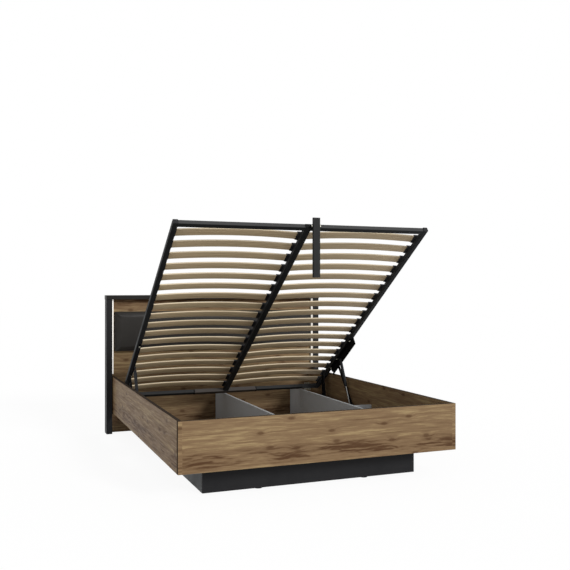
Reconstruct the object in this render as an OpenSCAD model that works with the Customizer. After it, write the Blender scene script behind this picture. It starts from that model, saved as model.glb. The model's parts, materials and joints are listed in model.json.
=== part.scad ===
// Storage bed with a lift-up slatted frame, drawn with the frame raised.
// X runs across the bed, Y from the footboard to the headboard, Z up from the floor.
// The origin lies on the floor, under the middle of the bed.

/* [Box] */
// Outer width across the side rails
box_w = 1654; // [1500:2:1800]
// Length from the footboard's face to the face of the headboard posts
box_l = 2050; // [1950:5:2150]
// Height of the side rails and the footboard
rail_h = 270; // [250:5:300]
// Height of the rails' lower edge above the floor
rail_z = 159; // [145:1:170]
// Thickness of the side rails and the footboard
board_t = 22; // [18:1:25]

/* [Headboard] */
// Height of the headboard above the floor
head_h = 1046; // [980:2:1200]
// Width of a headboard post
post_w = 42; // [28:1:50]
// Depth of a headboard post
post_d = 90; // [80:1:110]
// Gap between a side rail and the post beside it
post_gap = 4; // [3:1:14]
// Thickness of the top board
top_t = 32; // [25:1:40]
// Overhang of the top board past the posts
top_over = 3; // [0:0.5:8]
// Distance from the posts' face back to the wooden boards
panel_back = 50; // [45:1:56]
// Thickness of the wooden boards of the headboard
panel_t = 18; // [16:1:19]
// Height above the floor where the lower board ends and the light slots start
lower_h = 450; // [435:1:500]
// Width of a light bar
light_w = 12; // [10:1:17]
// Gap between a light bar and the panel beside it
light_gap = 2; // [1:0.5:12]
// Depth of a light bar's diffuser
light_d = 15; // [10:1:20]
// Distance from the posts' face back to the light bars
light_back = 23; // [15:1:30]
// Height of the pad's lower edge above the floor
pad_z = 613; // [560:1:640]
// Height of the pad
pad_h = 314; // [280:1:330]
// Thickness of the pad at its middle
pad_t = 54; // [40:1:60]
// Swell of the pad's face between its lower and upper edges
pad_crown = 3; // [1:0.5:6]
// Radius of the pad's front edges
pad_r = 9; // [5:1:14]
// Distance from the pad's ends to the panel's ends
pad_inset = 3; // [2:1:12]

/* [Storage] */
// Outer width of the storage box, which is also the plinth
store_w = 1304; // [1200:2:1340]
// Distance from the footboard's face to the plinth's face
store_y = 175; // [140:1:220]
// Thickness of the storage box's walls and divider
store_t = 16; // [14:1:22]
// Height of the storage box's upper edge above the floor
store_top = 288; // [270:1:292]
// Thickness of the floor panels
floor_t = 8; // [5:1:12]
// Side of the square cleats below the floor panels
cleat = 20; // [16:1:26]
// Height of a glide
glide_h = 5; // [3:0.5:8]
// Diameter of a glide
glide_d = 50; // [36:1:60]
// Distance from the footboard's face to the front ribs
front_rib_y = 420; // [300:5:600]
// Distance from the middle ribs to the lift gear's base plates
middle_rib_gap = 190; // [60:5:300]
// Height of a rib
rib_h = 120; // [90:1:120]

/* [Lift frame] */
// Gap between the lift frame and each side rail
side_gap = 10; // [9:0.5:14]
// Gap between the lowered frame and the footboard
foot_gap = 44; // [42:1:60]
// Gap between the lowered frame and the headboard's boards
head_gap = 38; // [30:1:45]
// Height of the lowered frame above the storage box
rest_gap = 12; // [10:0.5:16]
// Width of the side, head and foot tubes
tube_w = 30; // [28:1:34]
// Height of all the frame's tubes
tube_h = 27.5; // [25:0.5:30]
// Width of the middle tube
middle_w = 38; // [30:1:44]
// Wall thickness of the tubes
tube_t = 1.5; // [1.2:0.1:2.5]
// Number of slats in each of the two columns
slat_n = 18; // [14:1:20]
// Width of a slat
slat_w = 58; // [45:1:66]
// Thickness of a slat
slat_t = 9; // [6:0.5:10]
// Rise of a bowed slat's middle above its ends
slat_rise = 18; // [10:1:24]
// Distance from the frame's head end to the first slat
first_slat = 58; // [3:1:80]
// Distance from the last slat to the frame's foot end
last_slat = 89; // [40:1:110]
// Width of a slat holder on a side tube
holder_w = 37; // [34:1:64]
// Height of a slat holder
holder_h = 17; // [14:0.5:20]

/* [Lift] */
// Angle of the raised frame
lift_angle = 35.4; // [30:0.1:38]
// Distance that the frame's head end moves away from the headboard
head_shift = 191.5; // [180:0.5:200]
// Distance that the frame's head end drops as the frame rises
head_drop = 8; // [4:0.5:12]
// Height of the fixed pivots above the floor
pivot_z = 205; // [195:1:215]
// Thickness of the arms and links
arm_t = 5; // [4:0.5:6]
// Width of the front arms
arm_w = 26; // [22:1:28]
// Diameter of the front arms' round ends
arm_eye = 32; // [30:1:36]
// Width of the rear links at their lower end
link_w = 76; // [50:1:80]
// Diameter of a gas spring's cylinder
spring_d = 22; // [18:1:24]
// Length of a gas spring's cylinder
spring_l = 190; // [170:1:200]
// Diameter of a gas spring's rod
rod_d = 10; // [8:0.5:11]

/* [Support leg] */
// Width of the support leg
leg_w = 42; // [36:1:50]
// Depth of the support leg
leg_d = 20; // [18:0.5:22]
// Length of the leg above its pivot
leg_above = 48; // [35:1:60]
// Gap between the lowered leg and the floor
leg_gap = 2; // [1:0.5:5]

/* [Hidden] */
$fn = 64;

// Main planes, measured from the footboard's face
total_l = box_l + post_d;
inner_w = box_w - 2 * board_t;
panel_y = box_l + panel_back;
post_x = box_w / 2 + post_gap;
head_w = 2 * (post_x + post_w);
panel_w = 2 * (post_x - light_w - light_gap);
top_z = head_h - top_t;
wall_gap = 4;
batten_t = post_d - panel_back - panel_t - wall_gap;
wall_y = store_y + store_t;
wall_l = panel_y - wall_y;
wall_h = store_top - glide_h;

// Lift frame in its own axes: head end at y = 0, foot end at y = -frame_l, underside at z = 0
frame_w = inner_w - 2 * side_gap;
frame_l = panel_y - head_gap - board_t - foot_gap;
tube_x = frame_w / 2 - tube_w;
tube_r = 3;
slat_gap = 3;
slat_z = tube_h + slat_gap;
holder_inset = 6;
slat_inset = holder_inset + 7;
slat_end = frame_w / 2 - slat_inset;
slat_mid = 8;
slat_pitch = (frame_l - first_slat - last_slat - slat_w) / (slat_n - 1);
slat_span = slat_end - slat_mid;
slat_r = (pow(slat_span / 2, 2) + pow(slat_rise, 2)) / (2 * slat_rise);
holder_over = 3.5;
holder_l = slat_w + 2 * holder_over;
middle_holder_x = holder_w - 3;
pocket = 0.3;

// Places of the frame's head end as [y, z], lowered and raised
head_low = [panel_y - head_gap, store_top + rest_gap];
head_up = [head_low[0] - head_shift, head_low[1] - head_drop];

// Pivots on the frame as [distance from the head end, height above the underside]
arm_on_frame = [421, -40];
spring_on_frame = [511, -38];
link_on_frame = [195, 4];
leg_clear = 10;
leg_on_frame = [frame_l + leg_d / 2 + leg_clear, -3];

function on_frame(head, angle, p) = [
    head[0] - p[0] * cos(angle) + p[1] * sin(angle),
    head[1] + p[0] * sin(angle) + p[1] * cos(angle)
];
// A fixed pivot is as far from its moving pivot's lowered place as from the raised one
function fixed_pivot(low, up) = [
    (low[0] + up[0]) / 2 - (pivot_z - (low[1] + up[1]) / 2) * (up[1] - low[1]) / (up[0] - low[0]),
    pivot_z
];
function angle_of(from, to) = atan2(to[1] - from[1], to[0] - from[0]);

arm_low = on_frame(head_low, 0, arm_on_frame);
arm_up = on_frame(head_up, lift_angle, arm_on_frame);
link_low = on_frame(head_low, 0, link_on_frame);
link_up = on_frame(head_up, lift_angle, link_on_frame);
spring_up = on_frame(head_up, lift_angle, spring_on_frame);
arm_pivot = fixed_pivot(arm_low, arm_up);
link_pivot = fixed_pivot(link_low, link_up);
leg_up = on_frame(head_up, lift_angle, leg_on_frame);
leg_low = on_frame(head_low, 0, leg_on_frame);
arm_l = norm(arm_up - arm_pivot);
link_l = norm(link_up - link_pivot);
arm_angle = angle_of(arm_pivot, arm_up);
link_angle = angle_of(link_pivot, link_up);
spring_angle = angle_of(arm_pivot, spring_up);
spring_out = norm(spring_up - arm_pivot);

// Layers of the lift gear from the side rail inwards, on the right-hand side
plate_t = 3;
bracket_t = 4;
bracket_h = 54;
bracket_v = [302, 768];
bracket_inset = 2;
layer_gap = 1;
rail_face = inner_w / 2;
plate_x = rail_face - plate_t;
bracket_out = frame_w / 2 - bracket_inset;
bracket_in = bracket_out - bracket_t;
arm_in = bracket_out + layer_gap;
arm_out = arm_in + arm_t;
spring_x = bracket_in - layer_gap - spring_d / 2;
boss_d = 36;
boss_t = 2.3;
boss_gap = 0.7;
boss_x = tube_x - boss_t;
link_out = boss_x - boss_gap;
link_in = link_out - arm_t;
plate_h = 54;
plate_end = 60;
flange_w = 19;
middle_rib_y = arm_pivot[0] - plate_end - middle_rib_gap - store_t / 2;

// Pins and eyes: run is the play round a pin, side_play the play at a joint's faces
pin_d = 12;
eye_pin_d = 10;
stud_d = 14;
collar_d = 16;
run = 0.05;
side_play = 0.3;
sunk = 0.1;
eye_w = 12;
eye_d = 20;
pin_head_d = 20;
pin_head_t = 2;
bolt_d = 8;
bolt_head_d = 13;
bolt_head_t = 5;

module from_foot() {
    translate([0, -total_l / 2, 0]) children();
}

module on_raised_frame() {
    from_foot() translate([0, head_up[0], head_up[1]]) rotate([-lift_angle, 0, 0]) children();
}

module both_sides() {
    children();
    mirror([1, 0, 0]) children();
}

// A disc or pin along X, from x0 to x1, at the origin of Y and Z
module along_x(x0, x1, d) {
    translate([x0, 0, 0]) rotate([0, 90, 0]) cylinder(h = x1 - x0, d = d);
}

module rounded(w, h, r) {
    square([w - 2 * r, h], center = true);
    square([w, h - 2 * r], center = true);
    for (x = [-1, 1], y = [-1, 1]) {
        translate([x * (w / 2 - r), y * (h / 2 - r)]) circle(r = r, $fn = 32);
    }
}

module tube_section(w, h) {
    difference() {
        rounded(w, h, tube_r);
        rounded(w - 2 * tube_t, h - 2 * tube_t, tube_r - tube_t / 2);
    }
}

// A rectangular tube along -Y from y = 0, standing on z = 0 and centred on x = 0
module long_tube(w, l) {
    translate([0, 0, tube_h / 2]) rotate([90, 0, 0]) linear_extrude(l) tube_section(w, tube_h);
}

// A rectangular tube along X, centred, with its far side on y = 0
module cross_tube(l) {
    translate([-l / 2, -tube_w / 2, tube_h / 2]) rotate([90, 0, 90]) linear_extrude(l) {
        tube_section(tube_w, tube_h);
    }
}

// Outline of a link between two round ends, pivot at the origin, far end on +X
link_waist = 0.6;
module link_outline(l, d0, d1) {
    lean = asin((d0 - d1) / 2 / l);
    r0 = d0 / 2 - link_waist;
    r1 = d1 / 2 - link_waist;
    circle(d = d0);
    translate([l, 0]) circle(d = d1);
    polygon([
        [r0 * sin(lean), r0 * cos(lean)],
        [l + r1 * sin(lean), r1 * cos(lean)],
        [l + r1 * sin(lean), -r1 * cos(lean)],
        [r0 * sin(lean), -r0 * cos(lean)]
    ]);
}

// Flat stock of the arms' thickness in the YZ plane, its inner face at x0, its outline along +Y
module flat_stock(x0) {
    translate([x0, 0, 0]) rotate([90, 0, 90]) linear_extrude(arm_t) children();
}

// Countersunk screw: head in the plane z = 0, point along -Z
screw_d = 4.5;
screw_head_d = 9;
screw_l = 16;
module screw() {
    translate([0, 0, -screw_d / 2]) cylinder(h = screw_d / 2, d1 = screw_d, d2 = screw_head_d);
    translate([0, 0, -screw_l]) cylinder(h = screw_l - screw_d / 2, d = screw_d);
}

module screw_hole() {
    translate([0, 0, -screw_d / 2]) {
        cylinder(h = screw_d / 2, d1 = screw_d + 2 * run, d2 = screw_head_d + 2 * run);
    }
    translate([0, 0, -screw_l - 1]) cylinder(h = screw_l + 1, d = screw_d + 2 * run);
}

// Screws of the lift gear's base plate, seen from inside the box
base_screw_n = 5;
base_screw_inset = 20;
base_screw_up = 16;
base_screw_down = 12;
module at_base_screws() {
    y0 = arm_pivot[0] - plate_end + base_screw_inset;
    y1 = link_pivot[0] + plate_end - base_screw_inset;
    for (i = [0 : base_screw_n - 1]) {
        z = pivot_z + (i % 2 == 0 ? base_screw_up : -base_screw_down);
        translate([plate_x, y0 + i * (y1 - y0) / (base_screw_n - 1), z]) rotate([0, -90, 0]) children();
    }
}

// Corner brackets: an angle with one leg on the rail and one on the cross board
corner_leg = 40;
corner_h = 60;
corner_t = 2;
corner_up = 90;
corner_z = rail_z + corner_up;
corner_screw_at = 24.8;
module corner_angle() {
    difference() {
        translate([-corner_leg, 0, 0]) cube([corner_leg, corner_leg, corner_h]);
        translate([-corner_leg - 1, corner_t, -1]) {
            cube([corner_leg + 1 - corner_t, corner_leg, corner_h + 2]);
        }
        at_corner_screws() screw_hole();
    }
}
module at_corner_screws() {
    for (z = [corner_h / 4, corner_h * 3 / 4]) {
        translate([-corner_t, corner_screw_at, z]) rotate([0, -90, 0]) children();
        translate([-corner_screw_at, corner_t, z]) rotate([-90, 0, 0]) children();
    }
}
module at_corners() {
    both_sides() {
        translate([rail_face, board_t, corner_z]) children();
        translate([rail_face, panel_y, corner_z]) mirror([0, 1, 0]) children();
    }
}

module side_rail() {
    difference() {
        translate([rail_face, 0, rail_z]) cube([board_t, panel_y, rail_h]);
        at_base_screws() screw_hole();
        at_corners() at_corner_screws() screw_hole();
    }
}

module footboard() color("#8a7253") from_foot() difference() {
    translate([-rail_face, 0, rail_z]) cube([inner_w, board_t, rail_h]);
    at_corners() at_corner_screws() screw_hole();
}

module side_rail_right() color("#7a6249") from_foot() side_rail();
module side_rail_left() color("#7a6249") from_foot() mirror([1, 0, 0]) side_rail();

module headboard_post() translate([post_x, box_l, 0]) cube([post_w, post_d, top_z]);
module headboard_post_right() color("#2a2a2a") from_foot() headboard_post();
module headboard_post_left() color("#2a2a2a") from_foot() mirror([1, 0, 0]) headboard_post();

module headboard_top() color("#2f2d2b") from_foot() {
    translate([-head_w / 2 - top_over, box_l - top_over, top_z]) {
        cube([head_w + 2 * top_over, post_d + top_over, top_t]);
    }
}

module headboard_panel() color("#604f3b") from_foot() {
    translate([-panel_w / 2, panel_y, lower_h]) cube([panel_w, panel_t, top_z - lower_h]);
}

module headboard_lower_board() color("#5c4930") from_foot() difference() {
    translate([-post_x, panel_y, glide_h]) cube([2 * post_x, panel_t, lower_h - glide_h]);
    at_corners() at_corner_screws() screw_hole();
}

// Two battens behind the boards, from post to post
batten_h = 70;
module headboard_battens() color("#4a4038") from_foot() {
    for (z = [lower_h - batten_h / 2, top_z - batten_h]) {
        translate([-post_x, panel_y + panel_t, z]) cube([2 * post_x, batten_t, batten_h]);
    }
}

// Upholstered pad: its face swells a little and its edges are round
module headboard_pad() color("#32302e") from_foot() {
    w = panel_w - 2 * pad_inset;
    swell_r = (pow(pad_h / 2, 2) + pow(pad_crown, 2)) / (2 * pad_crown);
    translate([0, panel_y, pad_z + pad_h / 2]) intersection() {
        rotate([90, 0, 90]) linear_extrude(w, center = true) intersection() {
            translate([-pad_t / 2, 0]) rounded(pad_t, pad_h, pad_r);
            translate([swell_r - pad_t, 0]) circle(r = swell_r, $fn = 720);
        }
        linear_extrude(pad_h, center = true) translate([0, -pad_t / 2]) rounded(w, pad_t, pad_r);
        cube([w, 2 * pad_t, pad_h], center = true);
    }
}

// Light bars: an aluminium channel between post and batten, with a diffuser in front of it
light_h = top_z - lower_h;
light_wall = 2;
module light_profile(l) {
    difference() {
        cube([light_w, l, light_h]);
        translate([light_wall, -1, -1]) {
            cube([light_w - 2 * light_wall, l - light_wall + 1, light_h + 2]);
        }
    }
}
module light_channel() {
    y0 = box_l + light_back + light_d;
    translate([post_x - light_w, y0, lower_h]) light_profile(panel_y + panel_t - y0);
}
module light_diffuser() {
    y0 = box_l + light_back + light_d;
    translate([post_x - light_w, y0, lower_h]) mirror([0, 1, 0]) light_profile(light_d);
}
module light_channel_right() color("#9a9a98") from_foot() light_channel();
module light_channel_left() color("#9a9a98") from_foot() mirror([1, 0, 0]) light_channel();
module light_diffuser_right() color("#f2eee8") from_foot() light_diffuser();
module light_diffuser_left() color("#f2eee8") from_foot() mirror([1, 0, 0]) light_diffuser();

module plinth_front() color("#272727") from_foot() {
    translate([-store_w / 2, store_y, glide_h]) cube([store_w, store_t, wall_h]);
}

module storage_wall() {
    translate([store_w / 2 - store_t, wall_y, glide_h]) cube([store_t, wall_l, wall_h]);
}
module storage_wall_right() color("#4d4c4a") from_foot() storage_wall();
module storage_wall_left() color("#4d4c4a") from_foot() mirror([1, 0, 0]) storage_wall();

module storage_divider() color("#585652") from_foot() {
    translate([-store_t / 2, wall_y, glide_h]) cube([store_t, wall_l, wall_h]);
}

bay_w = store_w / 2 - store_t * 1.5;
module floor_panel() {
    translate([store_t / 2, wall_y, glide_h + cleat]) cube([bay_w, wall_l, floor_t]);
}
module floor_panel_right() color("#6b6356") from_foot() floor_panel();
module floor_panel_left() color("#6b6356") from_foot() mirror([1, 0, 0]) floor_panel();

module floor_cleats() color("#8f8270") from_foot() both_sides() {
    for (x = [store_t / 2, store_t / 2 + bay_w - cleat]) {
        translate([x, wall_y, glide_h]) cube([cleat, wall_l, cleat]);
    }
}

// Glides under the front board, the walls and the divider
glide_back = 18;
glide_taper = 4;
module glides() color("#1d1d1d") from_foot() {
    wall_x = store_w / 2 - store_t - cleat / 2;
    front_y = store_y + store_t / 2 + glide_back;
    middle_y = wall_y + wall_l / 3;
    back_y = wall_y + wall_l * 0.9;
    for (p = [
        [-store_w / 4, front_y], [store_w / 4, front_y],
        [-wall_x, middle_y], [0, middle_y], [wall_x, middle_y],
        [-wall_x, back_y], [0, back_y], [wall_x, back_y]
    ]) {
        translate([p[0], p[1], 0]) cylinder(h = glide_h, d1 = glide_d - glide_taper, d2 = glide_d);
    }
}

rib_drop = 8;
module rib(y) {
    translate([store_w / 2, y - store_t / 2, store_top - rib_drop - rib_h]) {
        cube([rail_face - store_w / 2, store_t, rib_h]);
    }
}
module front_rib_right() color("#4d4c4a") from_foot() rib(front_rib_y);
module front_rib_left() color("#4d4c4a") from_foot() mirror([1, 0, 0]) rib(front_rib_y);
module middle_rib_right() color("#4d4c4a") from_foot() rib(middle_rib_y);
module middle_rib_left() color("#4d4c4a") from_foot() mirror([1, 0, 0]) rib(middle_rib_y);

module corner_brackets() color("#a8a8a6") from_foot() at_corners() corner_angle();
module corner_screws() color("#b8b49c") from_foot() at_corners() at_corner_screws() screw();

// Base plate of the lift gear: an angle screwed to the side rail
module lift_base() {
    y0 = arm_pivot[0] - plate_end;
    l = link_pivot[0] + plate_end - y0;
    z0 = pivot_z - plate_h / 2;
    difference() {
        union() {
            translate([plate_x, y0, z0]) cube([plate_t, l, plate_h]);
            translate([plate_x - flange_w, y0, z0]) cube([flange_w + 1, l, plate_t]);
        }
        at_base_screws() screw_hole();
    }
}
module lift_base_right() color("#232325") from_foot() lift_base();
module lift_base_left() color("#232325") from_foot() mirror([1, 0, 0]) lift_base();

module lift_base_screws() color("#b8b49c") from_foot() both_sides() at_base_screws() screw();

// Shouldered pins on the base plate: one carries the arm and the spring, one the rear link
module arm_pin() {
    eye_in = spring_x - eye_w / 2 - side_play;
    eye_out = spring_x + eye_w / 2 + side_play;
    along_x(arm_out + side_play, plate_x, pin_head_d);
    along_x(arm_in - side_play, arm_out + side_play + sunk, pin_d);
    along_x(eye_out, arm_in - side_play, collar_d);
    along_x(eye_in, eye_out + sunk, eye_pin_d);
    along_x(eye_in - pin_head_t, eye_in, collar_d);
}
module link_pin() {
    along_x(link_out + side_play, plate_x, pin_head_d);
    along_x(link_in - side_play, link_out + side_play + sunk, pin_d);
    along_x(link_in - side_play - pin_head_t, link_in - side_play, pin_head_d);
}
module base_pivot_pins() color("#9c9c9a") from_foot() both_sides() {
    translate([0, arm_pivot[0], arm_pivot[1]]) arm_pin();
    translate([0, link_pivot[0], link_pivot[1]]) link_pin();
}

// Side tube with the boss that the rear link bears on
module side_tube() {
    translate([tube_x + tube_w / 2, 0, 0]) long_tube(tube_w, frame_l);
    translate([0, -link_on_frame[0], link_on_frame[1]]) along_x(boss_x, tube_x + 0.5, boss_d);
}
module side_tube_right() color("#2b2b2d") on_raised_frame() side_tube();
module side_tube_left() color("#2b2b2d") on_raised_frame() mirror([1, 0, 0]) side_tube();

module head_tube() color("#303133") on_raised_frame() cross_tube(2 * tube_x);
module foot_tube() color("#303133") on_raised_frame() {
    translate([0, tube_w - frame_l, 0]) cross_tube(2 * tube_x);
}
module middle_tube() color("#2b2b2d") on_raised_frame() {
    translate([0, -tube_w, 0]) long_tube(middle_w, frame_l - 2 * tube_w);
}

// Plastic plugs for the ends of tubes
cap_t = 4;
cap_in = 18;
cap_play = 0.2;
module plug_section(w, h) {
    less = 2 * (tube_t + cap_play);
    rounded(w - less, h - less, tube_r - tube_t / 2 - cap_play);
}

module tube_end_caps() color("#1b1b1b") on_raised_frame() both_sides() {
    for (end = [0, 1]) {
        translate([tube_x + tube_w / 2, end * -frame_l, tube_h / 2]) rotate([end * 180 - 90, 0, 0]) {
            linear_extrude(cap_t) rounded(tube_w, tube_h, tube_r);
            translate([0, 0, -cap_in]) linear_extrude(cap_in) plug_section(tube_w, tube_h);
        }
    }
}

// Sleeve that joins the two halves of the head tube
sleeve_l = 496;
sleeve_t = 2;
sleeve_gap = 0.5;
module head_tube_sleeve() color("#55565a") on_raised_frame() difference() {
    translate([-sleeve_l / 2, -tube_w - sleeve_t, -sleeve_t]) {
        cube([sleeve_l, tube_w + sleeve_t, tube_h + sleeve_t]);
    }
    translate([-sleeve_l / 2 - 1, -tube_w, 0]) cube([sleeve_l + 2, tube_w + 1, tube_h + 1]);
    translate([-middle_w / 2 - sleeve_gap, -tube_w - sleeve_t - 1, -sleeve_gap]) {
        cube([middle_w + 2 * sleeve_gap, sleeve_t + 2, tube_h + 1]);
    }
}

// Arc-shaped section of a bowed slat, grown by a margin on all sides
module slat_section(margin) {
    intersection() {
        difference() {
            circle(r = slat_r + slat_t + margin, $fn = 720);
            circle(r = slat_r - margin, $fn = 720);
        }
        translate([-slat_span / 2 - margin, slat_r - slat_rise - 5]) {
            square([slat_span + 2 * margin, slat_rise + slat_t + 10]);
        }
    }
}
module slat(margin = 0) {
    translate([(slat_mid + slat_end) / 2, margin, slat_z + slat_rise - slat_r]) rotate([90, 0, 0]) {
        linear_extrude(slat_w + 2 * margin) slat_section(margin);
    }
}
module at_slats() {
    for (i = [0 : slat_n - 1]) {
        translate([0, -first_slat - i * slat_pitch, 0]) children();
    }
}
module slats_right() color("#86735a") on_raised_frame() at_slats() slat();
module slats_left() color("#86735a") on_raised_frame() mirror([1, 0, 0]) at_slats() slat();

// A holder is a block on the tube with a pocket for the slat's end
module side_holder() difference() {
    translate([frame_w / 2 - holder_inset - holder_w, -slat_w - holder_over, tube_h]) {
        cube([holder_w, holder_l, holder_h]);
    }
    slat(pocket);
}
module middle_holder() difference() {
    translate([-middle_holder_x, -slat_w - holder_over, tube_h]) {
        cube([2 * middle_holder_x, holder_l, holder_h]);
    }
    both_sides() slat(pocket);
}
module slat_holders_right() color("#17171a") on_raised_frame() at_slats() side_holder();
module slat_holders_left() color("#17171a") on_raised_frame() mirror([1, 0, 0]) at_slats() side_holder();
module slat_holders_middle() color("#17171a") on_raised_frame() at_slats() middle_holder();

// Angle under the side tube that carries the arm and the gas spring
bracket_bolt_x = tube_x + 11;
bracket_bolt_ends = [30, 40];
bracket_slant = 26;
module at_bracket_bolts() {
    middle = (arm_on_frame[0] + spring_on_frame[0]) / 2;
    for (v = [bracket_v[0] + bracket_bolt_ends[0], middle, bracket_v[1] - bracket_bolt_ends[1]]) {
        translate([bracket_bolt_x, -v, -bracket_t]) children();
    }
}
module lift_bracket() {
    l = bracket_v[1] - bracket_v[0];
    difference() {
        union() {
            translate([bracket_in, -bracket_v[1], -bracket_h]) cube([bracket_t, l, bracket_h]);
            translate([tube_x, -bracket_v[1], -bracket_t]) cube([bracket_out - tube_x, l, bracket_t]);
        }
        translate([bracket_in - 1, -bracket_v[0], -bracket_h]) rotate([45, 0, 0]) {
            cube([bracket_t + 2, bracket_slant, bracket_slant]);
        }
    }
}
module lift_bracket_right() color("#232325") on_raised_frame() lift_bracket();
module lift_bracket_left() color("#232325") on_raised_frame() mirror([1, 0, 0]) lift_bracket();
module lift_bracket_bolts() color("#8e8e90") on_raised_frame() both_sides() at_bracket_bolts() {
    translate([0, 0, -bolt_head_t]) cylinder(h = bolt_head_t, d = bolt_head_d, $fn = 6);
}

// Pins on the frame: the arm turns on one, the spring's eye lies beside the other
stud_gap = 0.5;
module frame_pivot_pins() color("#9c9c9a") on_raised_frame() both_sides() {
    translate([0, -arm_on_frame[0], arm_on_frame[1]]) {
        along_x(bracket_out, arm_out + side_play, pin_d);
        along_x(arm_out + side_play, arm_out + side_play + pin_head_t, pin_head_d);
    }
    translate([0, -spring_on_frame[0], spring_on_frame[1]]) {
        along_x(spring_x + eye_w / 2 + stud_gap, bracket_in, stud_d);
    }
}

module front_arm() difference() {
    flat_stock(arm_in) {
        circle(d = arm_eye);
        translate([arm_l, 0]) circle(d = arm_eye);
        translate([0, -arm_w / 2]) square([arm_l, arm_w]);
    }
    along_x(arm_in - 1, arm_out + 1, pin_d + 2 * run);
    translate([0, arm_l, 0]) along_x(arm_in - 1, arm_out + 1, pin_d + 2 * run);
}
module at_front_arm() {
    from_foot() translate([0, arm_pivot[0], arm_pivot[1]]) rotate([arm_angle, 0, 0]) children();
}
module front_arm_right() color("#202022") at_front_arm() front_arm();
module front_arm_left() color("#202022") at_front_arm() mirror([1, 0, 0]) front_arm();

// Rear link: its upper end lies beside the frame's boss, with a rivet head on the inside
link_tip = 40;
module rear_link() {
    difference() {
        flat_stock(link_in) link_outline(link_l, link_w, link_tip);
        along_x(link_in - 1, link_out + 1, pin_d + 2 * run);
    }
    translate([0, link_l, 0]) along_x(link_in - pin_head_t, link_in + 0.5, pin_head_d);
}
module at_rear_link() {
    from_foot() translate([0, link_pivot[0], link_pivot[1]]) rotate([link_angle, 0, 0]) children();
}
module rear_link_right() color("#202022") at_rear_link() rear_link();
module rear_link_left() color("#202022") at_rear_link() mirror([1, 0, 0]) rear_link();

// Gas spring along +Y from its lower eye: a rod with a piston, and a cylinder over it.
// The necks are narrower than the eyes, so that the pins' collars clear them
guide_l = 12;
piston_l = 10;
cylinder_wall = 2;
cylinder_cap = 4;
eye_gap = 21;
stroke_left = 6;
neck_d = eye_w - 0.4;
neck_in = 3;
neck_l = 8;
cylinder_y = spring_out - eye_gap - spring_l;
piston_y = cylinder_y + guide_l + stroke_left;
module along_spring(y0, y1, d) {
    translate([spring_x, y0, 0]) rotate([-90, 0, 0]) cylinder(h = y1 - y0, d = d);
}
module at_spring() {
    from_foot() translate([0, arm_pivot[0], arm_pivot[1]]) rotate([spring_angle, 0, 0]) children();
}
module gas_rod() {
    difference() {
        union() {
            along_x(spring_x - eye_w / 2, spring_x + eye_w / 2, eye_d);
            along_spring(eye_d / 2 - neck_in, eye_d / 2 + neck_l, neck_d);
        }
        along_x(spring_x - eye_w, spring_x + eye_w, eye_pin_d + 2 * run);
    }
    along_spring(eye_d / 2 + neck_l - 1, piston_y + 1, rod_d);
    along_spring(piston_y, piston_y + piston_l, spring_d - 2 * cylinder_wall - 2 * run);
}
module gas_cylinder() {
    end_y = cylinder_y + spring_l;
    difference() {
        along_spring(cylinder_y, end_y, spring_d);
        along_spring(cylinder_y - 1, cylinder_y + guide_l + 1, rod_d + 2 * run);
        along_spring(cylinder_y + guide_l, end_y - cylinder_cap, spring_d - 2 * cylinder_wall);
    }
    along_spring(end_y - 1, spring_out - eye_d / 2 + neck_in, neck_d);
    translate([0, spring_out, 0]) along_x(spring_x - eye_w / 2, spring_x + eye_w / 2, eye_d);
}
module gas_rod_right() color("#b9b9b7") at_spring() gas_rod();
module gas_rod_left() color("#b9b9b7") at_spring() mirror([1, 0, 0]) gas_rod();
module gas_cylinder_right() color("#26272a") at_spring() gas_cylinder();
module gas_cylinder_left() color("#26272a") at_spring() mirror([1, 0, 0]) gas_cylinder();

// Support leg, which hangs from a bracket on the foot tube, just right of the middle
leg_x = 16;
leg_bracket_t = 4;
leg_bracket_x = leg_x - 1 - leg_bracket_t;
leg_eye_d = 22;
leg_foot_w = 32;
leg_foot_h = tube_h - 4;
leg_out = leg_on_frame[0] - frame_l;
leg_below = leg_low[1] - leg_gap;
leg_cap_in = 15;
module leg_bracket() color("#232325") on_raised_frame() {
    translate([leg_bracket_x - leg_foot_w, -frame_l - leg_bracket_t, 1]) {
        cube([leg_foot_w + leg_bracket_t, leg_bracket_t, leg_foot_h]);
    }
    difference() {
        translate([leg_bracket_x, -frame_l - leg_out, leg_on_frame[1]]) rotate([90, 0, 90]) {
            linear_extrude(leg_bracket_t) {
                circle(d = leg_eye_d);
                translate([0, -leg_eye_d / 2]) square([leg_out, leg_eye_d]);
                translate([leg_out - leg_bracket_t, -leg_on_frame[1]]) {
                    square([leg_bracket_t, leg_foot_h + 1]);
                }
            }
        }
        translate([0, -frame_l - leg_out, leg_on_frame[1]]) {
            along_x(leg_bracket_x - 1, leg_x, bolt_d + 2 * run);
        }
    }
}

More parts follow.
